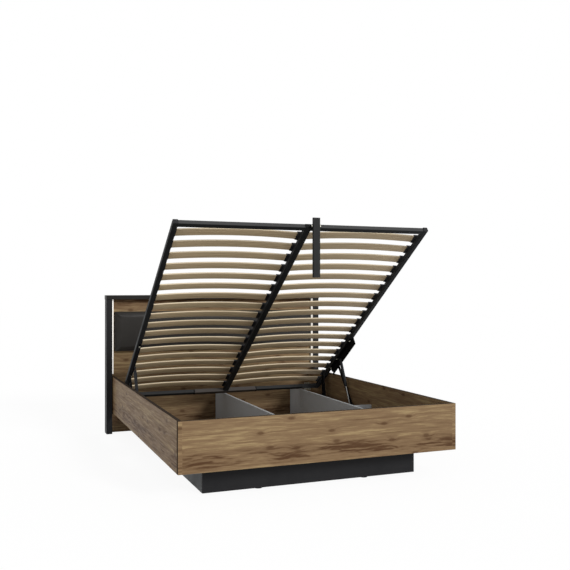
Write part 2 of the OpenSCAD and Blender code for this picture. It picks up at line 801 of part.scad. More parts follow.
module at_leg() {
    from_foot() translate([0, leg_up[0], leg_up[1]]) children();
}
module support_leg() color("#2b2b2d") at_leg() difference() {
    translate([leg_x + leg_w / 2, 0, cap_t - leg_below]) {
        linear_extrude(leg_below + leg_above - 2 * cap_t) tube_section(leg_w, leg_d);
    }
    along_x(leg_x - 1, leg_x + leg_w + 1, bolt_d + 2 * run);
}
module leg_bolt() color("#8e8e90") at_leg() {
    far = leg_x + leg_w;
    along_x(leg_bracket_x - bolt_head_t, leg_bracket_x, bolt_head_d);
    along_x(leg_bracket_x - 1, far + side_play + sunk, bolt_d);
    along_x(far + side_play, far + side_play + bolt_head_t, bolt_head_d);
}
module leg_caps() color("#1b1b1b") at_leg() {
    for (top = [0, 1]) {
        translate([leg_x + leg_w / 2, 0, top == 0 ? cap_t - leg_below : leg_above - cap_t]) {
            rotate([top == 0 ? 180 : 0, 0, 0]) {
                linear_extrude(cap_t) rounded(leg_w, leg_d, tube_r);
                translate([0, 0, -leg_cap_in]) linear_extrude(leg_cap_in) plug_section(leg_w, leg_d);
            }
        }
    }
}

footboard();
side_rail_left();
side_rail_right();
headboard_post_left();
headboard_post_right();
headboard_top();
headboard_panel();
headboard_lower_board();
headboard_battens();
headboard_pad();
light_channel_left();
light_channel_right();
light_diffuser_left();
light_diffuser_right();
plinth_front();
storage_wall_left();
storage_wall_right();
storage_divider();
floor_panel_left();
floor_panel_right();
floor_cleats();
glides();
front_rib_left();
front_rib_right();
middle_rib_left();
middle_rib_right();
corner_brackets();
corner_screws();
lift_base_left();
lift_base_right();
lift_base_screws();
base_pivot_pins();
side_tube_left();
side_tube_right();
head_tube();
foot_tube();
middle_tube();
tube_end_caps();
head_tube_sleeve();
slats_left();
slats_right();
slat_holders_left();
slat_holders_middle();
slat_holders_right();
lift_bracket_left();
lift_bracket_right();
lift_bracket_bolts();
frame_pivot_pins();
leg_bracket();
leg_bolt();
front_arm_left();
front_arm_right();
rear_link_left();
rear_link_right();
gas_cylinder_left();
gas_cylinder_right();
gas_rod_left();
gas_rod_right();
support_leg();
leg_caps();
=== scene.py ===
"""Finishes, upholstery, fittings and stage of a storage bed with a raised slatted frame."""

import json
import math
import random
from functools import cache

import bmesh
import bpy
from bpy.props import FloatProperty, FloatVectorProperty, IntProperty, PointerProperty
from mathutils import Matrix, Vector


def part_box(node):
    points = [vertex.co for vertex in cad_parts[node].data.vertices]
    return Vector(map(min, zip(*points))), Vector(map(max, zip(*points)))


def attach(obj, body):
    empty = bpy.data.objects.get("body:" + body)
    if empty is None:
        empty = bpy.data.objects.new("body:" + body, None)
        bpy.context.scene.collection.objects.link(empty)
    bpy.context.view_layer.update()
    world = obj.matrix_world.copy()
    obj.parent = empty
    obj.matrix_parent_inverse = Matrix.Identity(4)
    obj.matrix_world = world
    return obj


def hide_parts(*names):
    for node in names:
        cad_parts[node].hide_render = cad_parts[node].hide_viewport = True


bl_info = {
    "name": "Storage Bed Dressing",
    "version": (1, 0, 0),
    "blender": (4, 5, 0),
    "location": "View3D > Sidebar > Bed",
    "description": "Dresses the fixed frame of a storage bed with finishes, upholstery and fittings",
    "category": "Object",
}

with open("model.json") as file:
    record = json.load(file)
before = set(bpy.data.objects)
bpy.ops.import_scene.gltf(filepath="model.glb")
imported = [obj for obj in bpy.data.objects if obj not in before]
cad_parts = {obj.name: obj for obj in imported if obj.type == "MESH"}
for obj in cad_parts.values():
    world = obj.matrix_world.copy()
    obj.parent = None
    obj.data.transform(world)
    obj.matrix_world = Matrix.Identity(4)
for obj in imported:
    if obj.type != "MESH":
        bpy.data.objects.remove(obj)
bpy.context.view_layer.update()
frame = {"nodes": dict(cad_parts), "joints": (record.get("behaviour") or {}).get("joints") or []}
JOINTS = {joint["name"]: joint for joint in frame["joints"]}
X, Z = Vector((1, 0, 0)), Vector((0, 0, 1))


# Places taken from the frame


def lift_angle():
    """Angle of the raised frame: its leg turns through it to stay upright."""
    return -math.radians(JOINTS["leg_pivot"]["range_deg"][0])


def lift_frame_size():
    """Length and height of the lift frame's side tubes, from the box of the tilted tube."""
    low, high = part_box("side_tube_right")
    depth, rise = high.y - low.y, high.z - low.z
    c, s = math.cos(lift_angle()), math.sin(lift_angle())
    return (depth * c - rise * s) / (c * c - s * s), (rise * c - depth * s) / (c * c - s * s)


FRAME_L, TUBE_H = lift_frame_size()
FRAME_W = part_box("side_tube_right")[1].x * 2
# The head tube ends at the inner faces of the side tubes
TUBE_W = FRAME_W / 2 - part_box("head_tube")[1].x


def lift_axes():
    """The raised frame's own axes: head end at the origin, +Y towards the head, underside at z = 0."""
    low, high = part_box("side_tube_right")
    corner = (0, high.y - TUBE_H * math.sin(lift_angle()), low.z)
    return Matrix.Translation(corner) @ Matrix.Rotation(-lift_angle(), 4, "X")


LIFT = lift_axes()


def on_lift(x, y, z):
    """The place in the scene of a point given along the raised frame's own axes."""
    return LIFT @ Vector((x, y, z))


# Settings


def linear(code):
    """A hex colour as linear red, green and blue."""
    parts = [int(code[i : i + 2], 16) / 255 for i in (1, 3, 5)]
    return [p / 12.92 if p <= 0.04045 else ((p + 0.055) / 1.055) ** 2.4 for p in parts]


def colour(name, code, description):
    return FloatVectorProperty(
        name=name, description=description, default=linear(code), subtype="COLOR", size=3, min=0, max=1
    )


def length(name, default, description):
    return FloatProperty(
        name=name, description=description, default=default, min=0, unit="LENGTH", precision=4
    )


def number(name, default, description, low=0.0, high=100.0):
    return FloatProperty(name=name, description=description, default=default, min=low, max=high)


class BoardSettings(bpy.types.PropertyGroup):
    light: colour("Light grain", "#9f8964", "Palest tone of the walnut decor")
    middle: colour("Middle grain", "#7d654a", "Main tone of the walnut decor")
    dark: colour("Dark grain", "#4f3621", "Tone of the dark figure and the knots")
    black: colour("Black board", "#18181a", "Matte black of the posts and the plinth")
    top: colour("Top board", "#1b1917", "Matte dark brown of the top board and battens")
    grey: colour("Storage board", "#b7babd", "Grey melamine of the storage box")
    banding: colour("Edge banding", "#30261d", "Dark banding on the upper edges of the decor boards")
    hardboard: colour("Hardboard", "#80705a", "Brown hardboard of the floor panels")
    pine: colour("Softwood", "#c7ab80", "Planed softwood of the cleats")
    strip: length("Corner strip", 0.026, "Width of the dark strip where the side rails meet the footboard")
    edge: length("Edge rounding", 0.0015, "Rounding of the boards' edges")
    band: length("Band height", 0.055, "From the lower edge of rails and footboard to their dark band")


class PadSettings(bpy.types.PropertyGroup):
    cover: colour("Cover", "#221f1c", "Artificial leather of the headboard pad")
    voxel: length("Voxel", 0.008, "Size of the mesh that the cover is simulated on")
    swell: length("Swell", 0.005, "Most that the simulated cover may move")
    pressure: number("Pressure", 2.0, "Pressure of the foam below the cover")
    frames: IntProperty(name="Frames", description="Steps of the simulation", default=20, min=1, max=60)
    opal: colour("Diffuser", "#f3efe8", "Opal plastic of the light bars")
    glow: number("Glow", 0.6, "Strength of the light bars' diffusers")


class SlatSettings(bpy.types.PropertyGroup):
    count: IntProperty(name="Slats", description="Slats in a column", default=18, min=1, max=40)
    width: length("Width", 0.058, "Width of a slat")
    thickness: length("Thickness", 0.009, "Thickness of a slat")
    rise: length("Rise", 0.018, "Rise of a slat's middle above its ends")
    first: length("First slat", 0.058, "From the frame's head end to the first slat")
    last: length("Last slat", 0.089, "From the last slat to the frame's foot end")
    middle: length("Middle gap", 0.008, "From the bed's middle to the slats' inner ends")
    outer: length("Outer gap", 0.013, "From the frame's side to the slats' outer ends")
    seat: length("Seat", 0.003, "From the tubes' upper face to the slats' ends")
    round: length("Edge rounding", 0.0028, "Rounding of a slat's long edges")
    layers: IntProperty(name="Layers", description="Glued layers in a slat", default=6, min=1, max=12)
    veneer: colour("Veneer", "#bfad8c", "Beech veneer on the slats' faces")
    vein: colour("Veneer grain", "#9e886b", "Darker grain of the beech veneer")
    side: colour("Slat edge", "#e8d9bb", "Cut edges of the glued layers")
    inset: length("Holder inset", 0.006, "From the frame's side to the holders' outer ends")
    nose: length("Holder overhang", 0.013, "How far a holder reaches past its tube's edge")
    reach: length("Middle holder", 0.034, "From the bed's middle to a middle holder's ends")
    wider: length("Holder width", 0.007, "How much wider a holder is than its slat")
    plastic: colour("Holder", "#17171a", "Black plastic of the slat holders")


class SteelSettings(bpy.types.PropertyGroup):
    tube: colour("Frame tubes", "#191a1b", "Powder coat of the lift frame")
    gear: colour("Lift gear", "#131314", "Powder coat of the arms, links and brackets")
    sleeve: colour("Sleeve", "#332b25", "Powder coat of the head tube's sleeve")
    cylinder: colour("Gas cylinder", "#1e1f22", "Paint of the gas springs' cylinders")
    chrome: colour("Rod", "#8e8e8d", "Chrome of the gas springs' rods")
    zinc: colour("Zinc", "#b4b2a6", "Zinc plate of screws, pins and brackets")
    aluminium: colour("Aluminium", "#a9a9a8", "Anodised aluminium of the light bars")
    edge: length("Edge rounding", 0.0006, "Rounding of flat stock and caps")
    bead: length("Weld bead", 0.0045, "Width of a weld bead")


class StageSettings(bpy.types.PropertyGroup):
    lens: number("Lens", 48.006, "Focal length of the camera on a 36 mm wide sensor, in millimetres")
    eye: FloatVectorProperty(
        name="Camera",
        description="Place of the camera",
        default=(-1.74477, -4.82913, 1.10541),
        subtype="TRANSLATION",
    )
    yaw: number("Yaw", -21.7322, "Turn of the camera to the right of +Y, in degrees", -180, 180)
    pitch: number("Pitch", 0.1837, "Rise of the camera's line of sight, in degrees", -90, 90)
    sky: number("Sky", 0.55, "Strength of the soft light from all around")
    key: number("Key", 1.9, "Strength of the key lamp")
    key_angle: number("Key softness", 14.0, "Angle that the key lamp spans, in degrees", 0, 90)
    key_rise: number("Key rise", 24.0, "Height of the key lamp above the horizon, in degrees", 0, 90)
    key_turn: number("Key turn", 22.0, "Turn of the key lamp to the right, in degrees", -180, 180)
    floor: colour("Floor", "#f2f1ef", "Pale floor")


SETTINGS = {
    "bed_boards": BoardSettings,
    "bed_pad": PadSettings,
    "bed_slats": SlatSettings,
    "bed_steel": SteelSettings,
    "bed_stage": StageSettings,
}


# Node trees


class Value:
    """A node's output, to reckon with and to feed to other nodes."""

    def __init__(self, graph, socket):
        self.graph = graph
        self.socket = socket

    def __add__(self, other):
        return self.graph.math("ADD", self, other)

    def __sub__(self, other):
        return self.graph.math("SUBTRACT", self, other)

    def __mul__(self, other):
        return self.graph.math("MULTIPLY", self, other)

    def __truediv__(self, other):
        return self.graph.math("DIVIDE", self, other)

    def __rtruediv__(self, other):
        return self.graph.math("DIVIDE", other, self)

    def __gt__(self, other):
        return self.graph.math("GREATER_THAN", self, other)

    def __lt__(self, other):
        return self.graph.math("LESS_THAN", self, other)

    def __abs__(self):
        return self.graph.math("ABSOLUTE", self)


class Graph:
    """Adds nodes to a tree and feeds their inputs with values or with other nodes' outputs."""

    def __init__(self, tree):
        self.tree = tree

    def feed(self, socket, value):
        if isinstance(value, Value):
            self.tree.links.new(value.socket, socket)
        elif socket.type == "RGBA" and len(value) == 3:
            socket.default_value = (*value, 1)
        else:
            socket.default_value = value

    def values(self, sockets):
        """A node's outputs by number and by name."""
        made = [Value(self, socket) for socket in sockets]
        return {**dict(enumerate(made)), **{value.socket.name: value for value in made}}

    def node(self, kind, inputs=None, **settings):
        made = self.tree.nodes.new("ShaderNode" + kind)
        for name, value in settings.items():
            setattr(made, name, value)
        for name, value in (inputs or {}).items():
            self.feed(made.inputs[name], value)
        return self.values(made.outputs)

    def math(self, operation, *values):
        return self.node("Math", dict(enumerate(values)), operation=operation)[0]

    def times(self, vector, factors):
        return self.node("VectorMath", {0: vector, 1: factors}, operation="MULTIPLY")[0]

    def plus(self, vector, other):
        return self.node("VectorMath", {0: vector, 1: other}, operation="ADD")[0]

    def noise(self, vector, scale=1.0, detail=2.0, roughness=0.5):
        inputs = {"Vector": vector, "Scale": scale, "Detail": detail, "Roughness": roughness}
        return self.node("TexNoise", inputs)[0]

    def fade(self, value, start, end, low=0.0, high=1.0):
        """A smooth step of value, from low at start to high at end."""
        inputs = {0: value, 1: start, 2: end, 3: low, 4: high}
        return self.node("MapRange", inputs, interpolation_type="SMOOTHSTEP")[0]

    def spread(self, noise, low, high):
        """Low where a noise is near its least, and high where it is near its most."""
        return self.fade(noise, 0.3, 0.7, low, high)

    def mix(self, factor, a, b):
        return self.node("Mix", {0: factor, 6: a, 7: b}, data_type="RGBA")[2]

    def group(self, tree, **inputs):
        named = {name.replace("_", " "): value for name, value in inputs.items()}
        return self.node("Group", named, node_tree=tree)

    def object_point(self):
        return self.node("TexCoord")["Object"]

    def normal(self, kind="True Normal"):
        return self.xyz(self.node("NewGeometry")[kind])

    def xyz(self, vector):
        parts = self.node("SeparateXYZ", {0: vector})
        return parts["X"], parts["Y"], parts["Z"]

    def vector(self, x, y, z):
        return self.node("CombineXYZ", {0: x, 1: y, 2: z})[0]


# Kinds of the groups' sockets that aren't plain values
KINDS = {
    "Vector": "NodeSocketVector",
    "Light": "NodeSocketColor",
    "Middle": "NodeSocketColor",
    "Dark": "NodeSocketColor",
    "Color": "NodeSocketColor",
}


def group_tree(name, takes, gives):
    """A shader node group, its graph, its inputs' values and the sockets of its outputs."""
    tree = bpy.data.node_groups.new(name, "ShaderNodeTree")
    for direction, labels in (("INPUT", takes), ("OUTPUT", gives)):
        for label in labels:
            kind = KINDS.get(label, "NodeSocketFloat")
            tree.interface.new_socket(label, in_out=direction, socket_type=kind)
    g = Graph(tree)
    starts = tree.nodes.new("NodeGroupInput").outputs
    ends = tree.nodes.new("NodeGroupOutput").inputs
    return tree, g, g.values(starts), ends


@cache
def wood_figure():
    """Grain along X: broad bands, fine streaks, long thin lines and short pores."""
    takes, gives = ("Vector", "Band", "Streak", "Wave"), ("Bands", "Streaks", "Lines", "Pores")
    tree, g, take, give = group_tree("Wood figure", takes, gives)
    point = take["Vector"]
    x, y, z = g.xyz(point)
    sway = (g.noise(g.times(point, (1.3, 6, 6))) - 0.5) * take["Wave"]
    across = y + z * 0.4 + sway
    turns = across / take["Band"] + g.noise(g.times(point, (2, 16, 16))) * 1.6
    g.feed(give["Bands"], g.math("SINE", turns * math.tau) * 0.5 + 0.5)
    fine = 1.0 / take["Streak"]
    g.feed(give["Streaks"], g.noise(g.vector(x * 7, across * fine, z * fine), 1, 4, 0.62))
    thread = g.noise(g.vector(x * 2.4, across * 190, z * 190), 1, 2)
    g.feed(give["Lines"], g.fade(thread, 0.56, 0.70))
    pores = g.noise(g.times(point, (45, 1100, 1100)), 1, 1)
    g.feed(give["Pores"], g.fade(pores, 0.62, 0.74))
    return tree


@cache
def walnut_decor():
    """Printed walnut: pale upper boards, a dark arched band, streaks and small knots."""
    takes, gives = ("Vector", "Band Height", "Light", "Middle", "Dark"), ("Color", "Height", "Gloss")
    tree, g, take, give = group_tree("Walnut decor", takes, gives)
    point, dark = take["Vector"], take["Dark"]
    # Knots: the middles of a few of the cells of a stretched pattern
    cell_point = g.times(point, (4.2, 9.5, 0))
    cells = g.node("TexVoronoi", {"Vector": cell_point, "Scale": 1.0}, voronoi_dimensions="2D")
    chosen = g.xyz(cells["Color"])[0] > 0.42
    near = g.fade(cells["Distance"], 0.30, 0.05) * chosen
    core = g.fade(cells["Distance"], 0.13, 0.04) * chosen
    # The grain bends round the knots
    x, y, z = g.xyz(point)
    bent = g.vector(x, near * 0.010 + y, z)
    figure = g.group(wood_figure(), Vector=bent, Band=0.03, Streak=0.008, Wave=0.010)
    broad = g.noise(g.times(bent, (2.2, 20, 20)), 1, 5, 0.68)
    # Arched band: nested pointed curves drawn out along the grain, broken into stretches
    lift = (g.noise(g.times(point, (1.6, 3, 3))) - 0.5) * 0.05
    below = y + lift - take["Band Height"]
    arch = below * 40 + g.noise(g.times(point, (6, 12, 12)), 1, 3) * 4
    arches = g.math("SINE", arch * math.tau) * 0.5 + 0.5
    broken = g.fade(g.noise(g.times(point, (3, 14, 0)), 1, 3, 0.6), 0.36, 0.56, 0.25, 1.0)
    in_band = g.fade(abs(below), 0.060, 0.015) * broken
    tone = (broad - 0.5) * 1.3 + (figure["Bands"] - 0.5) * 0.10 + (figure["Streaks"] - 0.5) * 1.4
    tone = tone + in_band * (arches * 0.26 + 0.36) + near * 0.12
    wood = g.mix(g.fade(tone, -0.42, 0.12), take["Light"], take["Middle"])
    wood = g.mix(g.fade(tone, 0.10, 0.72), wood, dark)
    wood = g.mix(figure["Lines"] * 0.34, wood, dark)
    wood = g.mix(figure["Pores"] * 0.28, wood, dark)
    g.feed(give["Color"], g.mix(core * 0.7, wood, dark))
    g.feed(give["Height"], figure["Streaks"] * 0.6 - figure["Pores"] * 0.5)
    g.feed(give["Gloss"], figure["Streaks"])
    return tree


@cache
def fine_texture():
    """The grain of powder coat, moulded plastic and foil, and slow changes of their gloss."""
    tree, g, take, give = group_tree("Fine texture", ("Vector", "Grain"), ("Height", "Cloud"))
    g.feed(give["Height"], g.noise(take["Vector"], 1.0 / take["Grain"], 2, 0.6))
    g.feed(give["Cloud"], g.noise(take["Vector"], 9, 3, 0.6))
    return tree


@cache
def edge_wear():
    """Where edges are rubbed: the normals of a rounded copy turn away from the true ones."""
    tree, g, take, give = group_tree("Edge wear", ("Vector", "Radius", "Amount"), ("Mask",))
    rounded = g.node("Bevel", {"Radius": take["Radius"]}, samples=4)[0]
    true = g.node("NewGeometry")["Normal"]
    cosine = g.node("VectorMath", {0: rounded, 1: true}, operation="DOT_PRODUCT")["Value"]
    patches = g.fade(g.noise(take["Vector"], 60, 4, 0.65), 0.40, 0.62)
    g.feed(give["Mask"], g.fade(cosine, 0.995, 0.90) * patches * take["Amount"])
    return tree


@cache
def settled_dust():
    """A thin layer of dust on what faces up."""
    tree, g, take, give = group_tree("Settled dust", ("Vector", "Amount"), ("Mask",))
    up = g.fade(g.normal("Normal")[2], 0.5, 1.0)
    patches = g.fade(g.noise(take["Vector"], 14, 5, 0.7), 0.3, 0.75)
    g.feed(give["Mask"], up * patches * take["Amount"])
    return tree


# Materials


class Finish:
    """A material with one Principled shader, and the graph that feeds it."""

    def __init__(self, name, **plain):
        self.material = bpy.data.materials.new(name)
        self.material.use_nodes = True
        self.graph = Graph(self.material.node_tree)
        self.shader = self.material.node_tree.nodes["Principled BSDF"]
        self.set(**plain)

    def set(self, **inputs):
        for name, value in inputs.items():
            self.graph.feed(self.shader.inputs[name.replace("_", " ")], value)

    def bumped(self, height, strength, distance):
        """The finished material, with a bump on its surface."""
        inputs = {"Height": height, "Strength": strength, "Distance": distance}
        self.set(Normal=self.graph.node("Bump", inputs)[0])
        return self.material

    def coat(self, base, worn, roughness, grain, radius, wear, clouds, dust_and_sheen=0.0):
        """Lays a coat with slow clouds, worn edges and a further mask (settled dust on melamine, painted
        sheen on powder coat), and gives its colour and its fine texture.
        """
        g = self.graph
        point = g.object_point()
        fine = g.group(fine_texture(), Vector=point, Grain=grain)
        rubbed = g.group(edge_wear(), Vector=point, Radius=radius, Amount=wear)["Mask"]
        self.set(Roughness=g.spread(fine["Cloud"], *roughness))
        skin = g.mix(g.spread(fine["Cloud"], 0.0, clouds), base, worn)
        # The further mask is mixed in like wear: real dust on melamine, painted sheen on powder coat
        return g.mix(g.math("MAXIMUM", rubbed, dust_and_sheen), skin, worn), fine["Height"]


def shade(base, factor, lift=0.0):
    """A colour made darker or lighter by a factor, and lifted."""
    return [factor * c + lift for c in base]


def grain_space(g, along):
    """The object's point turned so that X runs along the grain, and across it on the ends."""
    x, y, z = g.xyz(g.object_point())
    faces, ends = g.vector(x, z, y), g.vector(y, z, x)
    if along == "Y":
        faces, ends = ends, faces
    on_end = abs(g.normal()["XYZ".index(along)]) > 0.8
    return g.node("Mix", {0: on_end, 4: faces, 5: ends}, data_type="VECTOR")[1]


def walnut(name, along, shift, band, tone=1.0):
    """Walnut decor foil on a board, with its grain along one axis and dark banding on top; a tone below one
    is painted shade that darkens the whole decor.
    """
    colours = bpy.context.scene.bed_boards
    made = Finish(name, Specular_IOR_Level=0.12)
    g = made.graph
    decor = g.group(
        walnut_decor(),
        Vector=g.plus(grain_space(g, along), shift),
        Band_Height=band + shift[1],
        Light=shade(colours.light, tone),
        Middle=shade(colours.middle, tone),
        Dark=shade(colours.dark, tone),
    )
    point, normal = g.object_point(), g.normal()
    wear = g.group(edge_wear(), Vector=point, Radius=0.0018, Amount=0.35)
    banded = normal[2] > 0.8
    if along == "Y":
        strip = g.xyz(point)[1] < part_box("side_rail_right")[0].y + colours.strip
        banded = g.math("MAXIMUM", banded, strip * (abs(normal[0]) > 0.8))
    foil = g.mix(wear["Mask"], decor["Color"], colours.light)
    gloss = g.spread(decor["Gloss"], 0.46, 0.6)
    made.set(Base_Color=g.mix(banded, foil, colours.banding))
    made.set(Roughness=g.math("MAXIMUM", gloss, banded * 0.95))
    return made.bumped(decor["Height"], 0.22, 0.0004)


def melamine(name, base, roughness, worn, outside=1.0):
    """Matte foil on a board: fine texture and soft wear, with painted shade that darkens the faces away
    from the middle when outside is below one.
    """
    made = Finish(name, Specular_IOR_Level=0.15)
    g = made.graph
    dust = g.group(settled_dust(), Vector=g.object_point(), Amount=0.10)["Mask"]
    span = (roughness - 0.05, roughness + 0.06)
    foil, texture = made.coat(
        base, worn, span, grain=0.0011, radius=0.0018, wear=0.5, clouds=0.16, dust_and_sheen=dust
    )
    # Painted shade: faces turned away from the middle take a darker copy of the board's colour
    if outside != 1:
        away = g.normal()[0] * g.math("SIGN", g.xyz(g.object_point())[0]) > 0.5
        foil = g.mix(away, foil, shade(base, outside))
    made.set(Base_Color=foil)
    return made.bumped(texture, 0.12, 0.0003)


def raw_wood(name, base, vein, along, band, streak):
    """Bare wood with its grain along one axis."""
    made = Finish(name, Specular_IOR_Level=0.3)
    g = made.graph
    figure = g.group(wood_figure(), Vector=grain_space(g, along), Band=band, Streak=streak, Wave=0.02)
    depth = figure["Bands"] * 0.4 + figure["Streaks"] * 0.7
    made.set(Base_Color=g.mix(g.fade(depth, 0.25, 0.85), base, vein))
    made.set(Roughness=g.spread(figure["Streaks"], 0.58, 0.72))
    return made.bumped(figure["Streaks"], 0.2, 0.0005)


def hardboard():
    """Pressed fibre board with loose flecks."""
    base = bpy.context.scene.bed_boards.hardboard
    made = Finish("Hardboard", Specular_IOR_Level=0.25)
    g = made.graph
    point = g.object_point()
    flecks = g.noise(point, 380, 5, 0.75)
    depth = g.noise(point, 16, 3, 0.6) * 0.4 + flecks * 0.8
    made.set(Base_Color=g.mix(g.fade(depth, 0.45, 0.8), shade(base, 0.7), base))
    made.set(Roughness=g.spread(flecks, 0.6, 0.8))
    return made.bumped(flecks, 0.3, 0.0004)


def powder_coat(name, base, roughness, sky_sheen=0.1, gloss=0.06):
    """Textured powder coat with faint wear on the edges, and a painted sheen that makes it paler where it
    faces the sky.
    """
    made = Finish(name, Specular_IOR_Level=gloss)
    g = made.graph
    # Painted sheen: faces turned up are mixed towards the paler colour of worn edges, standing in for the
    # sky's reflection on the paint
    pale = g.fade(g.normal("Normal")[2], -0.4, 0.9, 0.0, sky_sheen)
    span = (roughness - 0.06, roughness + 0.08)
    worn_and_sheen = shade(base, 0.5, 0.12)
    paint, texture = made.coat(
        base, worn_and_sheen, span, grain=0.0009, radius=0.0012, wear=0.55, clouds=0.03, dust_and_sheen=pale
    )
    made.set(Base_Color=paint)
    return made.bumped(texture, 0.25, 0.0003)


def metal(name, base, roughness, tint, brushed=(1, 1, 1)):
    """Bare or plated metal with drawn lines and slow changes of tint."""
    made = Finish(name, Metallic=1.0)
    g = made.graph
    point = g.object_point()
    lines = g.noise(g.times(point, brushed), 700, 3, 0.6)
    cloud = g.noise(point, 30, 3, 0.6)
    made.set(Base_Color=g.mix(g.fade(cloud, 0.35, 0.65, 0.0, 0.5), base, tint))
    made.set(Roughness=g.spread(lines, roughness * 0.75, roughness * 1.3))
    return made.bumped(lines, 0.06, 0.0002)


def plastic(name, base, roughness):
    """Moulded plastic with a fine eroded texture."""
    made = Finish(name, Specular_IOR_Level=0.25)
    span = (roughness - 0.06, roughness + 0.06)
    pale = shade(base, 0.7, 0.08)
    skin, texture = made.coat(base, pale, span, grain=0.0007, radius=0.001, wear=0.3, clouds=0.05)
    made.set(Base_Color=skin)
    return made.bumped(texture, 0.18, 0.0002)


def slat_veneer():
    """Beech veneer on the slats' faces and glued layers on their edges."""
    s = bpy.context.scene.bed_slats
    made = Finish("Layered beech", Specular_IOR_Level=0.4)
    g = made.graph
    along, across, depth = g.xyz(g.node("Attribute", attribute_name="grain")["Vector"])
    tone = g.node("Attribute", attribute_name="tone")["Fac"]
    spread = g.vector(along, tone * 3.0 + across, depth)
    figure = g.group(wood_figure(), Vector=spread, Band=0.013, Streak=0.0022, Wave=0.05)
    dark = figure["Bands"] * 0.35 + figure["Streaks"] * 0.75
    face = g.mix(g.fade(dark, 0.3, 0.85), s.veneer, s.vein)
    face = g.mix(figure["Pores"] * 0.35, face, s.vein)
    # Every other layer is darker, and glue lines part them, seen on the long edges alone
    layers = depth * (s.layers / s.thickness)
    line = g.fade(abs(g.math("FRACT", layers) - 0.5), 0.34, 0.48)
    odd = g.math("MODULO", g.math("FLOOR", layers), 2.0)
    cut = g.mix(odd * 0.35, s.side, s.veneer)
    cut = g.mix(line * 0.7, cut, s.vein)
    half = s.thickness / 2
    on_edge = g.fade(abs(depth - half), half - 0.0001, half - 0.0008)
    wood = g.mix(on_edge, face, cut)
    wood = g.mix(g.fade(tone, 0.0, 1.0, 0.0, 0.22), wood, s.vein)
    made.set(Base_Color=wood, Roughness=g.spread(figure["Streaks"], 0.42, 0.58))
    return made.bumped(figure["Streaks"], 0.15, 0.0003)


def leather():
    """Artificial leather: pebbled grain, fine creases and a soft sheen."""
    cover = bpy.context.scene.bed_pad.cover
    made = Finish("Artificial leather", Specular_IOR_Level=0.25, Sheen_Weight=0.04, Sheen_Roughness=0.5)
    g = made.graph
    point = g.object_point()
    pebbles = g.node("TexVoronoi", {"Vector": point, "Scale": 620.0}, feature="DISTANCE_TO_EDGE")
    grain = g.fade(pebbles["Distance"], 0.0, 0.25)
    creases = g.noise(g.times(point, (8, 8, 22)), 4, 5, 0.7)
    tone = g.noise(point, 11, 3, 0.6) * 0.6 + grain * 0.4
    made.set(Base_Color=g.mix(g.fade(tone, 0.3, 0.8), shade(cover, 0.75), shade(cover, 1.15)))
    made.set(Roughness=g.spread(creases, 0.42, 0.6))
    return made.bumped(creases * 0.5 + grain, 0.3, 0.0004)


def opal():
    """Opal diffuser that glows evenly, a little less towards its ends."""
    pad = bpy.context.scene.bed_pad
    made = Finish("Opal diffuser", Roughness=0.45, Specular_IOR_Level=0.4, Emission_Strength=pad.glow)
    g = made.graph
    low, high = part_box("light_diffuser_right")
    half = (high.z - low.z) / 2
    reach = abs(g.xyz(g.object_point())[2] - (low.z + half))
    specks = g.noise(g.object_point(), 90, 2)
    lit = g.fade(reach, half, half - 0.03, 0.8, 1.0) * g.fade(specks, 0.2, 0.8, 0.96, 1.0)
    white = g.mix(lit, shade(pad.opal, 0.6), pad.opal)
    made.set(Base_Color=white, Emission_Color=white)
    return made.material


# Meshes


SIDES = (("left", -1), ("right", 1))


def pair(name):
    """The names of a left and a right node."""
    return name + "_left", name + "_right"


def dress(finishes, rounding):
    """Gives CAD nodes their materials, and rounds their sharp edges with modifiers."""
    for material, nodes in finishes.items():
        for node in nodes:
            thing = frame["nodes"][node]
            thing.data.materials.clear()
            thing.data.materials.append(material)
            weld = thing.modifiers.new("Weld", "WELD")
            weld.merge_threshold = 0.00002
            bevel = thing.modifiers.new("Bevel", "BEVEL")
            bevel.width = rounding
            bevel.segments = 2
            bevel.limit_method = "ANGLE"
            bevel.angle_limit = math.radians(40)
            bevel.use_clamp_overlap = True
            bevel.harden_normals = True


def finish_mesh(bm, name, body, material, replaces=(), smooth_angle=40):
    """Turns a bmesh into a named piece on a body, smooth between its sharp edges."""
    bmesh.ops.recalc_face_normals(bm, faces=bm.faces)
    mesh = bpy.data.meshes.new(name)
    bm.to_mesh(mesh)
    bm.free()
    mesh.polygons.foreach_set("use_smooth", [True] * len(mesh.polygons))
    mesh.set_sharp_from_angle(angle=math.radians(smooth_angle))
    mesh.materials.append(material)
    thing = bpy.data.objects.new(name, mesh)
    bpy.context.scene.collection.objects.link(thing)
    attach(thing, body)
    if replaces:
        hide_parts(*replaces)
    return thing


def bridge(bm, rings):
    """Faces between rings of as many vertices each."""
    for one, two in zip(rings, rings[1:]):
        for i in range(len(one)):
            j = (i + 1) % len(one)
            bm.faces.new((one[i], one[j], two[j], two[i]))


def skin(bm, rings):
    """A closed skin over rings of vertices, with a face on each end."""
    bridge(bm, rings)
    bm.faces.new(rings[0][::-1])
    bm.faces.new(rings[-1])


def loft(bm, sections):
    """A closed skin over sections, which are lists of as many points each."""
    skin(bm, [[bm.verts.new(p) for p in section] for section in sections])


def rounded_outline(width, height, radius):
    """Points round a rectangle with round corners, centred on zero."""
    steps = 3
    points = []
    for k, (sx, sy) in enumerate(((1, 1), (-1, 1), (-1, -1), (1, -1))):
        centre = Vector((sx * (width / 2 - radius), sy * (height / 2 - radius)))
        for i in range(steps + 1):
            a = math.radians(90 * (k + i / steps))
            points.append(centre + radius * Vector((math.cos(a), math.sin(a))))
    return points


def spot(angle, radius, height=0.0):
    """The point at an angle, a distance and a height about Z."""
    return Vector((radius * math.cos(angle), radius * math.sin(angle), height))


